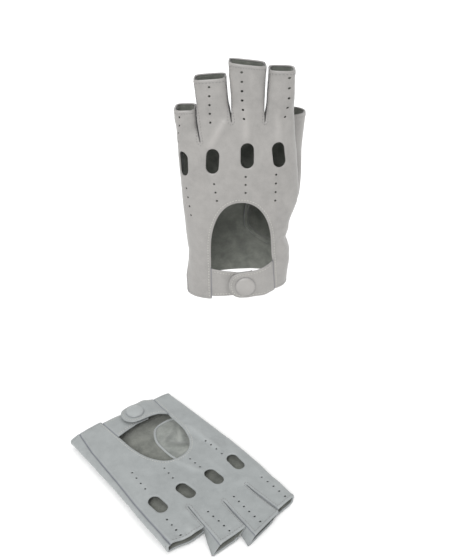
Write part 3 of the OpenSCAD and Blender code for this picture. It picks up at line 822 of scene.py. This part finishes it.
# ---------------------------------------------------------------- stitching
def tube_rings(rings, normals, radii, sides_n=6):
    """Short closed tubes: rings is (count, rings, 3)."""
    count, n = rings.shape[:2]
    along = np.gradient(rings, axis=1)
    along /= np.linalg.norm(along, axis=2, keepdims=True)
    side = np.cross(along, normals)
    side /= np.linalg.norm(side, axis=2, keepdims=True)
    up = np.cross(side, along)
    a = np.linspace(0, 2 * np.pi, sides_n, endpoint=False)
    spokes = side[:, :, None] * np.cos(a)[:, None] + up[:, :, None] * np.sin(a)[:, None]
    points = rings[:, :, None] + spokes * np.asarray(radii)[None, :, None, None]
    first = np.arange(count) * n * sides_n
    one = [(i * sides_n + j, (i + 1) * sides_n + j, (i + 1) * sides_n + (j + 1) % sides_n,
            i * sides_n + (j + 1) % sides_n) for i in range(n - 1) for j in range(sides_n)]
    one += [tuple(range(sides_n)), tuple(range(n * sides_n - 1, (n - 1) * sides_n - 1, -1))]
    faces = [tuple(int(f + i) for i in quad) for f in first for quad in one]
    return points.reshape(-1, 3), faces


def stitch_places(lines, pitch=1.95, length=1.45):
    """For each stitch, five places along it."""
    out = []
    for line in lines:
        gaps = np.linalg.norm(np.diff(line, axis=0), axis=1)
        run = np.concatenate([[0], np.cumsum(gaps)])
        count = int(run[-1] // pitch)
        for i in range(count):
            t = (i + 0.5) * run[-1] / count + np.linspace(-0.5, 0.5, 5) * length
            out.append(np.column_stack([np.interp(t, run, line[:, 0]), np.interp(t, run, line[:, 1])]))
    return np.array(out).reshape(-1, 5, 2)


DIP = np.array([-0.30, 0.02, 0.10, 0.02, -0.30])
THREAD_R = np.array([0.09, 0.19, 0.21, 0.19, 0.09])


def thread_object(name, rings, normals, material):
    points, faces = tube_rings(rings, normals, THREAD_R)
    mesh = bpy.data.meshes.new(name)
    mesh.from_pydata((points * MM).tolist(), [], faces)
    mesh.materials.append(material)
    return add_object(name, mesh)


def stitches(name, places, surface, normal, material):
    """Stitches at places on the pattern, with their ends sunk in the leather."""
    flat = places.reshape(-1, 2)
    rings = surface(flat, np.tile(DIP, len(places))).reshape(-1, 5, 3)
    return thread_object(name, rings, normal(flat).reshape(-1, 5, 3), material)


def trank_stitching(glove):
    def surface(places, dip):
        s, v = places.T
        return glove.surface(places, finger_of(s, v), proud=dip)

    def normal(places):
        s, v = places.T
        return glove.normal(s, v, finger_of(s, v))

    light = stitch_places([*TRANK.inset_lines("arch", 1.95), *TRANK.inset_lines("root", 1.7)])
    quiet = stitch_places([*TRANK.inset_lines("hem", 2.0), *TRANK.inset_lines("slit", 1.6)], 1.7, 1.2)
    for kind, places, material in (("opening", light, THREAD_LIGHT), ("edge", quiet, THREAD_QUIET)):
        middle = places[:, 2]
        part = finger_of(middle[:, 0], middle[:, 1])
        for k in np.unique(part):
            name = glove.prefix + ("hand" if k == HAND else NAMES[k]) + f"_{kind}_stitches"
            attach(stitches(name, places[part == k], surface, normal, material), glove, int(k))


# ---------------------------------------------------------------- the tabs and the snap
SNAP = (4.3, -7.0)     # u, v
SNAP_GAP = 1.7         # between the two tabs
OVER_ROOT, OVER_END, UNDER_END = 26.0, -7.0, 12.0     # u
TAB_TOP = [(-19.5, 5), (0, 3), (12, 5), (24, 10)]


def tab_edges(u):
    return lookup(u, [(-42, -20), (38, -12.5)]), lookup(u, TAB_TOP)


def tab_cut(over):
    """A tab's flat shape, in (u, v) of the flat glove."""
    turn = np.radians(np.linspace(-90, 90, 25))
    if over:
        root_u, reach = np.array([OVER_ROOT, 23.5]), 9.0
        tip = OVER_END + reach * (1 - np.cos(turn))
    else:
        root_u, reach = np.array([-19.4, -19.5]), 3.0
        tip = UNDER_END - reach * np.sin(turn) ** 2
    low, high = tab_edges(tip)
    inset = 0.0 if over else 1.0
    end = np.column_stack([tip, (low + high) / 2 + np.sin(turn) * ((high - low) / 2 - inset)])
    (low_end, high_end), (low_root, high_root) = end[[0, -1]], np.array(
        [(root_u[0], tab_edges(root_u[0])[0] + inset), (root_u[1], tab_edges(root_u[1])[1] - inset)])
    u = np.linspace(low_root[0], low_end[0], 12)
    low_line = np.column_stack([u, tab_edges(u)[0] + inset])
    u = np.linspace(high_end[0], high_root[0], 12)
    high_line = np.column_stack([u, tab_edges(u)[1] - inset])
    hem = np.vstack([low_line, end[1:-1], high_line])
    return Cut([("root", np.vstack([high_root, low_root])), ("hem", hem)], pitch=1.3, step=0.8,
               edge_rings=(0.35, 0.8, 1.2, 1.6, 2.1, 2.8))


def tab(glove, over):
    cut = tab_cut(over)
    climb = 0.32 * (OVER_ROOT - OVER_END)

    def rise(u, v):
        lift = (SNAP_GAP + TAB) * smooth((OVER_ROOT - u) / climb) if over else 0.0
        r = np.hypot(u - SNAP[0], v - SNAP[1])
        round_snap = np.arctan2(v - SNAP[1], u - SNAP[0])
        ripple = 0.22 * np.exp(-((r - 9.0) / 2.2) ** 2) * np.cos(5 * round_snap + 0.6)
        return lift + ripple + 0.12 * np.sin(u * 0.45) * np.sin(v * 0.38 + 1)

    def normal(places):
        s = to_s(places[:, 0], places[:, 1])
        return glove.normal(s, places[:, 1], HAND)

    def surface(places, dip=0.0, near=None):
        u, v = places.T
        near = near or cut.nearness(places)
        lift = edge_relief(near) * 0.8 + rise(u, v) + dip
        return glove.plain(to_s(u, v), v, HAND) + normal(places) * lift[:, None]

    points = surface(cut.places, 0.0, cut.near)
    faces = cut.faces if glove.shape["outward"] > 0 else cut.faces[:, ::-1]
    name = glove.prefix + ("over" if over else "under") + "_tab"
    solid = Solid(points, faces, TAB, 0.3, dye_and_painted_light(cut.near))
    obj = make(name + "_leather", solid, [glove.leather, SUEDE], [name])
    lines = list(cut.inset_lines("hem", 1.7))
    thread = stitches(name + "_stitches", stitch_places(lines, 1.9, 1.4), surface, normal, THREAD_LIGHT)
    for piece in (obj, thread):
        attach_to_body(piece, glove.prefix + ("over_tab" if over else "hand"))


def snap_cap(glove):
    """The leather-covered cap, domed, with its edge drawn in under it."""
    u, v = SNAP
    s = to_s(np.array([u]), np.array([v]))
    up = glove.normal(s, np.array([v]), HAND)[0]
    foot = glove.plain(s, np.array([v]), HAND)[0] + up * (SNAP_GAP + 1.2 + 0.25)
    side = np.cross(up, (0.3, 0.1, 1.0) if abs(up[2]) < 0.5 else (1.0, 0.2, 0.0))
    side /= np.linalg.norm(side)
    front = np.cross(up, side)
    profile = [(0.0, 2.12), (1.6, 2.08), (3.2, 1.94), (4.6, 1.68), (5.7, 1.34), (6.4, 0.98), (6.85, 0.6),
               (7.02, 0.25), (6.95, -0.02), (6.6, -0.16), (5.6, -0.2)]     # radius, height
    around = np.linspace(0, 2 * np.pi, 72, endpoint=False)
    rows = []
    for r, h in profile[1:]:
        pucker = 0.06 * smooth((r - 5.5) / 1.2) * np.cos(18 * around + 2 * np.sin(3 * around))
        across = np.outer((r + pucker) * np.cos(around), side)
        along = np.outer((r + pucker) * np.sin(around), front)
        rows.append(foot + across + along + up * (h + 0.02 * np.cos(3 * around + 1))[:, None])
    points = np.vstack([foot + up * profile[0][1]] + rows)
    n = len(around)
    fan = [(0, 1 + j, 1 + (j + 1) % n) for j in range(n)]
    faces = np.vstack([fan, grid_faces(len(rows), n, True)[:, ::-1] + 1])
    faces = facing(points, faces, foot - up * 3)
    rim = np.concatenate([[0.0], np.repeat([smooth((p[0] - 5.8) / 1.2) for p in profile[1:]], n)])
    # The dome's top is painted paler, a painted highlight; its rim takes the cap's dark dye.
    solid = Solid(points, faces, 0.5, 0.0, {"edge": rim * 0.5, "lift_and_painted_light": 0.5 + 0.3 * (1 - rim)})
    obj = make(glove.prefix + "cap_cover", solid, [glove.cap, SUEDE], [glove.prefix + "snap_cap"])
    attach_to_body(obj, glove.prefix + "over_tab")


# ---------------------------------------------------------------- the thumbs
# The worn thumb's free stall: where it stands, its radius, the v of its foot, and its length
THUMB_AT, THUMB_R, THUMB_V, THUMB_STALL = (31, 25), 12, 78, 25.0


def tube_solid(rows, near_hem, near_root, thickness=LEATHER):
    """A solid from rings of places (rows, around, 3), turned in at its hem."""
    n_rows, n = rows.shape[:2]
    flat = rows.reshape(-1, 3)
    faces = grid_faces(n_rows, n, True)
    faces = facing(flat, faces, rows.mean((0, 1)))
    near = far_from_edges(len(flat), hem=np.repeat(near_hem, n), thumb=np.repeat(near_root, n))
    points = flat + vertex_normals(flat, faces) * edge_relief(near)[:, None]
    return Solid(points, faces, thickness + 0.5 * smooth((3.2 - near["hem"]) / 0.8), 0.35, dye_and_painted_light(near))


def ring_stitches(name, rows, run, at_run, material, pitch=1.8):
    """Stitches round a tube, at a distance along it, from its rings of places."""
    n = rows.shape[1]
    closed = np.concatenate([rows, rows[:, :1]], axis=1)
    ring = np.array([[np.interp(at_run, run, closed[:, j, c]) for c in range(3)] for j in range(n + 1)])
    gaps = np.linalg.norm(np.diff(ring, axis=0), axis=1)
    arc_run = np.concatenate([[0], np.cumsum(gaps)])
    centre = ring.mean(0)
    count = int(arc_run[-1] // pitch)
    t = ((np.arange(count) + 0.5) * arc_run[-1] / count)[:, None] + np.linspace(-0.5, 0.5, 5) * pitch * 0.72
    places = np.stack([np.interp(t, arc_run, ring[:, c], period=arc_run[-1]) for c in range(3)], axis=2)
    axis = closed[-1].mean(0) - closed[0].mean(0)
    axis /= np.linalg.norm(axis)
    tangent = np.gradient(places, axis=1)
    normals = np.cross(tangent, axis)
    normals /= np.linalg.norm(normals, axis=2, keepdims=True)
    if (normals * (places - centre)).sum() < 0:
        normals = -normals
    rings = places + normals * (DIP + 0.02)[None, :, None]
    return thread_object(name, rings, normals, material)


def upright_thumb(glove):
    """The worn thumb: it grows from the hole in the palm and turns up beside the index finger."""
    loop = next(line for kind, line, _ in TRANK.lines if kind == "thumb")
    rim = glove.surface(loop, HAND)
    u = to_u(palm(loop[:, 0]), loop[:, 1])
    a = np.arctan2((loop[:, 1] - THUMB_HOLE[1]) / THUMB_HOLE[3], (u - THUMB_HOLE[0]) / THUMB_HOLE[2])
    low = (1 - np.sin(a)) / 2

    def ring(t):
        """A ring of the free stall, from its foot at 0 to its hem at 1."""
        r = THUMB_R + 0.25 * t
        level = np.full(len(a), ZERO_LEVEL + THUMB_V + THUMB_STALL * t)
        return np.column_stack([THUMB_AT[0] + 1.6 * t + r * np.cos(a),
                                THUMB_AT[1] + t - r * np.sin(a), level])

    base = ring(0)
    out = glove.normal(loop[:, 0], loop[:, 1], HAND)
    p1 = rim + out * (1.5 + 9 * low)[:, None]
    p2 = base - np.outer(4 + 24 * low, UP)
    wide = np.column_stack([2 * FOLD - THUMB_HOLE[0] + (loop[:, 0] - 2 * FOLD + THUMB_HOLE[0]) * 1.09,
                            THUMB_HOLE[1] + (loop[:, 1] - THUMB_HOLE[1]) * 1.05])
    rows = [glove.plain(wide[:, 0], wide[:, 1], HAND) - out * 1.5, rim - out * 1.1, rim - out * 0.5]
    for t in np.linspace(0.01, 1, 26):
        rows.append(rim * (1 - t) ** 3 + p1 * 3 * t * (1 - t) ** 2 + p2 * 3 * t * t * (1 - t) + base * t ** 3)
    rows = np.array(rows + [ring(t) for t in np.linspace(0, 1, 18)[1:]])
    creased = np.exp(-((np.arange(len(rows)) - 20) / 6.0) ** 2)
    wrinkle = creased[:, None] * (0.35 * np.sin(7 * a) + 0.25 * np.sin(3 * a + 1))
    rows = rows + wrinkle[:, :, None] * (rows - rows.mean(1, keepdims=True)) / 14
    steps = np.linalg.norm(np.diff(rows.mean(1), axis=0), axis=1)
    run = np.concatenate([[0], np.cumsum(steps)])
    solid = tube_solid(rows, run[-1] - run, run * 1.2)
    obj = make(glove.prefix + "thumb_leather", solid, [glove.leather, SUEDE],
               [glove.prefix + "thumb_base", glove.prefix + "thumb_stall"])
    thread = ring_stitches(glove.prefix + "thumb_stitches", rows, run, run[-1] - 2.0, THREAD_QUIET)
    start, end = (0.031, 0.025, 0.076), (0.031, 0.025, 0.092)
    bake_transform(obj)
    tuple(start)
    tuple(end)
    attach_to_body(thread, glove.prefix + "thumb")


def lying_thumb(glove):
    """The other thumb, folded flat under the palm, and the leather that fills its hole."""
    v = np.concatenate([np.linspace(19, 30, 8), np.linspace(32, 92, 34)])    # foot to hem
    a = np.linspace(0, 2 * np.pi, 64, endpoint=False)
    rows = []
    for w in v:
        middle = lookup(w, [(20, 21), (92, 19)])
        half = 12.0 * (0.75 + 0.25 * smooth((w - 18) / 14))
        deep = 1.0 * (0.35 + 0.65 * smooth((w - 18) / 8)) + 0.1 * math.sin(w * 0.4)
        across = middle + half * power(np.cos(a), 0.9)
        height = 1.12 + deep * power(np.sin(a), 0.6)
        rows.append(lie(across, np.full(len(a), w), np.maximum(height, 0.08)))
    rows = np.array(rows)
    solid = tube_solid(rows, v[-1] - v, v - v[0] + 3, 0.5)
    obj = make(glove.prefix + "thumb_leather", solid, [glove.leather, SUEDE], [glove.prefix + "thumb_stall"])
    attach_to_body(obj, glove.prefix + "thumb")

    patch = Cut([("thumb", np.vstack([on_palm(thumb_hole()), on_palm(thumb_hole())[:1]]))])
    s, w = patch.places.T
    lift = fold_relief(s, w, PATCH_FOLDS) - 0.35
    points = glove.lifted(patch.places, lift)
    # The patch's fold ridges are painted lighter and its hollows darker: painted highlight and painted shade.
    solid = Solid(points, patch.faces[:, ::-1], 0.7, 0.2, dye_and_painted_light(patch.near, lift + 0.35))
    obj = make(glove.prefix + "thumb_root", solid, [glove.leather, SUEDE_LIGHT],
               [glove.prefix + "thumb_base"])
    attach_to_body(obj, glove.prefix + "hand")

    loop = resample(on_palm(thumb_hole(96)), 1.0, True)
    for _ in range(12):
        loop = (np.roll(loop, 1, axis=0) + loop * 2 + np.roll(loop, -1, axis=0)) / 4
    side = sides(loop, True)
    rows = []
    for across, height in ((-0.9, 0.8), (-1.0, 1.5), (-0.5, 1.95), (0.3, 1.9), (0.8, 1.4), (0.75, 0.8)):
        wavy = across + 0.15 * np.sin(np.arange(len(loop)) * 2 * np.pi * 9 / len(loop))
        rows.append(glove.lifted(loop + side * wavy[:, None], -height))
    rows = np.array(rows)
    n = len(loop)
    flat = rows.reshape(-1, 3)
    faces = grid_faces(len(rows), n, True)
    core = glove.lifted(loop, -1.2)
    faces = facing(flat, faces, core[faces[:, 0] % n])
    # The whole bead is painted paler, a painted highlight on the ridge.
    values = {"edge": np.full(len(flat), 0.15), "lift_and_painted_light": np.full(len(flat), 0.9)}
    obj = make(glove.prefix + "thumb_seam", Solid(flat, faces, 0.15, 0.0, values), [glove.leather])
    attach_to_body(obj, glove.prefix + "hand")


# ---------------------------------------------------------------- materials
class Finish:
    """Builds a procedural material; most of its methods add a node and return its output."""

    def __init__(self, name, shader):
        self.material = bpy.data.materials.new(name)
        self.material.use_nodes = True
        self.tree = self.material.node_tree
        self.shader = self.tree.nodes["Principled BSDF"]
        for socket, value in shader.items():
            self.shader.inputs[socket].default_value = value
        self.place = self.add("ShaderNodeTexCoord").outputs["Object"]

    def add(self, kind, **settings):
        made = self.tree.nodes.new(kind)
        for key, value in settings.items():
            if key in made.inputs:
                self.feed(value, made.inputs[key])
            else:
                setattr(made, key, value)
        return made

    def feed(self, value, socket):
        if isinstance(value, bpy.types.NodeSocket):
            self.tree.links.new(value, socket)
        else:
            socket.default_value = (*value, 1.0) if isinstance(value, tuple) else value

    def noise(self, scale, detail=2.0, roughness=0.5):
        return self.add("ShaderNodeTexNoise", Vector=self.place, Scale=scale, Detail=detail,
                        Roughness=roughness).outputs["Fac"]

    def spread(self, value, low, high, out_low, out_high):
        made = self.add("ShaderNodeMapRange", clamp=True)
        for i, x in enumerate((value, low, high, out_low, out_high)):
            self.feed(x, made.inputs[i])
        return made.outputs[0]

    def mix(self, factor, a, b):
        made = self.add("ShaderNodeMix", data_type="RGBA")
        for socket, value in ((0, factor), (6, a), (7, b)):
            self.feed(value, made.inputs[socket])
        return made.outputs[2]

    def maths(self, operation, a, b):
        made = self.add("ShaderNodeMath", operation=operation)
        self.feed(a, made.inputs[0])
        self.feed(b, made.inputs[1])
        return made.outputs[0]

    def attribute(self, name):
        return self.add("ShaderNodeAttribute", attribute_name=name).outputs["Fac"]

    def done(self, colour, roughness, *bumps):
        """Feeds the shader; each bump is a height, a strength and a distance, the broadest first."""
        self.feed(colour, self.shader.inputs["Base Color"])
        self.feed(roughness, self.shader.inputs["Roughness"])
        normal = None
        for height, strength, distance in bumps:
            bump = self.add("ShaderNodeBump", Height=height, Strength=strength, Distance=distance)
            if normal:
                self.feed(normal, bump.inputs["Normal"])
            normal = bump.outputs["Normal"]
        if normal:
            self.feed(normal, self.shader.inputs["Normal"])
        return self.material


def srgb(*levels):
    return tuple(((x / 255 + 0.055) / 1.055) ** 2.4 for x in levels)


def scaled(colour, factor):
    return tuple(c * factor for c in colour)


def leather(name, colour, seam, pale, roughness, grain=1.0):
    """Nappa: pebbled grain, faint mottling, darker dye in the seams; fold ridges painted paler as a
    highlight, and made a little less rough.
    """
    f = Finish(name, {"Specular IOR Level": 0.45, "Sheen Weight": 0.12, "Sheen Roughness": 0.45,
                      "Coat Weight": 0.14, "Coat Roughness": 0.34})
    warp = f.add("ShaderNodeTexNoise", Vector=f.place, Scale=500.0, Detail=2.0)
    bent = f.add("ShaderNodeMix", data_type="VECTOR")
    for socket, value in ((0, 0.0006), (4, f.place), (5, warp.outputs["Color"])):
        f.feed(value, bent.inputs[socket])
    cells = f.add("ShaderNodeTexVoronoi", feature="DISTANCE_TO_EDGE", Scale=1900.0, Vector=bent.outputs[1])
    creases = f.spread(cells.outputs["Distance"], 0.0, 0.16, 0.0, 1.0)
    blotch = f.noise(190.0, 3.0, 0.6)
    edge, lift_and_painted_light = f.attribute("edge"), f.attribute("lift_and_painted_light")
    dark = scaled(colour, 0.9)
    tone = f.mix(f.spread(f.noise(55.0, 3.0), 0.35, 0.65, 0.0, 1.0), dark, colour)
    tone = f.mix(f.spread(blotch, 0.3, 0.7, 0.0, 0.35), tone, pale)
    # Painted highlight: fold ridges mixed towards the pale tone.
    tone = f.mix(f.spread(lift_and_painted_light, 0.55, 1.0, 0.0, 0.6), tone, pale)
    tone = f.mix(f.spread(creases, 0.0, 1.0, 0.10, 0.0), tone, seam)
    tone = f.mix(f.spread(f.noise(2300.0, 1.0), 0.35, 0.7, 0.0, 0.10), tone, dark)
    tone = f.mix(f.spread(edge, 0.25, 1.0, 0.0, 0.75), tone, seam)
    rough = f.spread(blotch, 0.3, 0.7, roughness - 0.05, roughness + 0.06)
    rough = f.maths("SUBTRACT", rough, f.spread(lift_and_painted_light, 0.5, 1.0, 0.0, 0.08))
    rough = f.maths("ADD", rough, f.spread(edge, 0.2, 1.0, 0.0, 0.12))
    return f.done(tone, rough, (f.noise(260.0, 3.0, 0.55), 0.5, 0.0005), (creases, 0.3 * grain, 0.00006))


def suede(name, colour, dark):
    """The flesh side: matt, napped, with soft darker patches; fold ridges painted lighter as a highlight and
    hollows painted darker as shade.
    """
    f = Finish(name, {"Specular IOR Level": 0.15, "Sheen Weight": 0.35, "Sheen Roughness": 0.6})
    nap, lift_and_painted_light = f.noise(1500.0, 4.0, 0.7), f.attribute("lift_and_painted_light")
    tone = f.mix(f.spread(f.noise(130.0, 3.0, 0.6), 0.3, 0.7, 0.0, 1.0), dark, colour)
    tone = f.mix(f.spread(nap, 0.3, 0.75, 0.0, 0.5), tone, dark)
    # Painted highlight on fold ridges.
    tone = f.mix(f.spread(lift_and_painted_light, 0.55, 1.0, 0.0, 0.6), tone, scaled(colour, 1.3))
    # Painted shade in the hollows.
    tone = f.mix(f.spread(lift_and_painted_light, 0.1, 0.45, 0.5, 0.0), tone, scaled(dark, 0.7))
    return f.done(tone, f.spread(nap, 0.3, 0.7, 0.88, 0.98), (nap, 0.7, 0.0003))


def thread(name, colour):
    """Twisted sewing thread."""
    f = Finish(name, {"Sheen Weight": 0.3})
    twist = f.add("ShaderNodeTexWave", bands_direction="DIAGONAL", Vector=f.place, Scale=1400.0,
                  Distortion=1.5, Detail=1.0).outputs["Fac"]
    tone = f.mix(f.spread(twist, 0.0, 1.0, 0.0, 0.35), colour, scaled(colour, 0.55))
    return f.done(tone, f.spread(f.noise(700.0), 0.3, 0.7, 0.5, 0.7), (twist, 0.5, 0.0001))


def nickel(name):
    f = Finish(name, {"Metallic": 1.0})
    cloudy = f.noise(420.0, 3.0)
    tone = f.mix(f.spread(cloudy, 0.3, 0.7, 0.0, 1.0), (0.50, 0.49, 0.46), (0.66, 0.65, 0.62))
    return f.done(tone, f.spread(cloudy, 0.3, 0.7, 0.22, 0.38), (f.noise(2600.0), 0.15, 0.0001))


def paper(name):
    f = Finish(name, {"Specular IOR Level": 0.1})
    return f.done(f.mix(f.noise(3.0), (0.95, 0.95, 0.95), (0.96, 0.96, 0.955)), 0.95)


SUEDE = suede("suede_inside", srgb(122, 124, 117), srgb(88, 91, 85))
SUEDE_LIGHT = suede("suede_thumb", srgb(146, 149, 144), srgb(112, 116, 112))
THREAD_LIGHT = thread("thread_light", srgb(190, 189, 181))
THREAD_QUIET = thread("thread_grey", srgb(128, 127, 126))

# ---------------------------------------------------------------- the two gloves
# Folds: from (s, v) to (s, v), half width, height
WORN_FOLDS = [(-19, 88, -8, 107, 2.0, 1.3), (-12, 88, -10, 97, 1.8, -0.4), (16, 90, 15.5, 104, 2.4, -0.6),
              (-25, 74, -25, 92, 2.4, -0.5), (-5, 88, -5, 105, 2.4, -0.5), (5, 90, 4, 114, 2.8, 0.9),
              (27, 90, 27, 114, 2.8, 0.8), (-30, 66, -8, 62, 5.0, 0.3), (26, 25, 44, 18, 3.0, -1.1),
              (30, 31, 47, 28, 2.4, 0.5), (33, 14, 46, 9, 2.6, -0.6), (30, 58, 40, 40, 3.0, 0.5),
              (-38, 30, -28, 6, 4.0, -0.4), (-46, 12, -30, 14, 3.0, -0.45), (50, 74, 52, 100, 4.0, 0.4),
              (66, 76, 88, 70, 4.0, -0.5), (78, 82, 100, 84, 3.5, 0.5), (92, 60, 108, 30, 5.0, -0.5),
              (70, 12, 96, 8, 4.0, -0.5), (110, 70, 122, 40, 4.0, 0.4)]
LYING_FOLDS = [(26, 70, 25.5, 28, 2.4, 1.2), (21.5, 66, 21.5, 34, 1.8, -0.5), (-6, 52, 4, 82, 2.2, 0.8),
               (12, 60, 14, 92, 2.4, 0.45), (-27, 93, -29, 106, 2.0, 0.5), (4, 99, 27, 104, 3.0, 0.5),
               (-9, 96, 10, 101, 2.6, -0.4), (-2, 8, -10, -6, 2.4, 0.4), (-40, 20, -34, 70, 5.0, 0.4),
               (-48, 100, -48, 114, 2.4, 0.7), (-41, 101, -41, 114, 2.0, -0.8),
               (-34, 102, -34, 114, 2.2, 0.7), (30, 80, 40, 60, 3.0, 0.5), (-20, 55, -30, 40, 3.5, 0.35),
               (60, 80, 90, 75, 4.0, 0.5)]
PATCH_FOLDS = [(52, 62, 80, 30, 2.2, -1.2), (56, 28, 78, 60, 1.8, 1.0), (60, 68, 76, 50, 2.0, -1.0),
               (58, 18, 72, 38, 2.0, 1.0), (66, 24, 80, 30, 1.6, -0.9), (62, 44, 80, 46, 1.6, 0.8)]

GLOVES = [Glove("left_", upright_shape(), WORN_FOLDS, 14.0),
          Glove("right_", lying_shape(), LYING_FOLDS, 16.0)]
SEAM_DYE, CAP_RIM_DYE = srgb(84, 86, 98), srgb(104, 106, 114)
GUSSETS = [(LITTLE, True, "little_fourchette"), (RING, False, "ring_fourchette_outer"),
           (RING, True, "ring_fourchette_inner"), (MIDDLE, False, "middle_fourchette_outer"),
           (MIDDLE, True, "middle_fourchette_inner"), (INDEX, False, "index_fourchette")]
TONES = [(srgb(144, 142, 139), srgb(166, 163, 160)), (srgb(146, 150, 150), srgb(164, 168, 168))]
for glove, (tone, pale) in zip(GLOVES, TONES):
    glove.leather = leather(glove.prefix + "nappa", tone, SEAM_DYE, pale, 0.44)
    # The gussets' nappa is the same leather painted 7% darker, a painted shade in the gaps between the
    # fingers, and a little rougher.
    glove.gusset = leather(glove.prefix + "gusset_shaded_nappa", scaled(tone, 0.93), SEAM_DYE, pale, 0.48)
    glove.cap = leather(glove.prefix + "cap_nappa", scaled(tone, 1.02), CAP_RIM_DYE, pale, 0.38, 0.7)
    trank(glove)
    for k, thumb_side, name in GUSSETS:
        fourchette(glove, k, thumb_side, name)
    trank_stitching(glove)
    tab(glove, False)
    tab(glove, True)
    snap_cap(glove)
upright_thumb(GLOVES[0])
lying_thumb(GLOVES[1])

NICKEL = nickel("nickel")
for prefix in ("left_", "right_"):
    for piece in ("snap_socket", "snap_stud", "snap_post"):
        obj = bpy.data.objects[prefix + piece]
        obj.data.materials.clear()
        obj.data.materials.append(NICKEL)

# ---------------------------------------------------------------- floor, light and camera
HALF_FLOOR = 5.0

floor_mesh = bpy.data.meshes.new("floor")
floor_mesh.from_pydata([(x * HALF_FLOOR, y * HALF_FLOOR, LYING_AT[2] * MM)
                        for x, y in ((-1, -1), (1, -1), (1, 1), (-1, 1))], [], [(0, 1, 2, 3)])
floor_mesh.materials.append(paper("paper"))
floor = bpy.data.objects.new("floor", floor_mesh)
bpy.context.scene.collection.objects.link(floor)

world = bpy.data.worlds.new("studio")
world.use_nodes = True
world.node_tree.nodes["Background"].inputs["Color"].default_value = (1.0, 1.0, 1.0, 1.0)
world.node_tree.nodes["Background"].inputs["Strength"].default_value = 0.78
bpy.context.scene.world = world


def sun(name, direction, strength, width):
    """Broad soft light that shines along a direction."""
    light = bpy.data.lights.new(name, "SUN")
    light.energy, light.angle = strength, math.radians(width)
    obj = bpy.data.objects.new(name, light)
    obj.rotation_euler = Vector(direction).to_track_quat("-Z", "Y").to_euler()
    bpy.context.scene.collection.objects.link(obj)


sun("key", (0.22, 0.72, -0.66), 1.8, 28)
sun("top", (-0.25, -0.15, -1.0), 0.6, 60)

camera_data = bpy.data.cameras.new("camera")
camera_data.lens = 43.6
camera = bpy.data.objects.new("camera", camera_data)
camera.location = (-0.0028, -0.4262, 0.2381)
camera.rotation_euler = (math.radians(61.27), 0.0, 0.0)
camera_data.clip_start = 0.01
bpy.context.scene.collection.objects.link(camera)
bpy.context.scene.camera = camera
bpy.context.scene.view_settings.view_transform = "Standard"
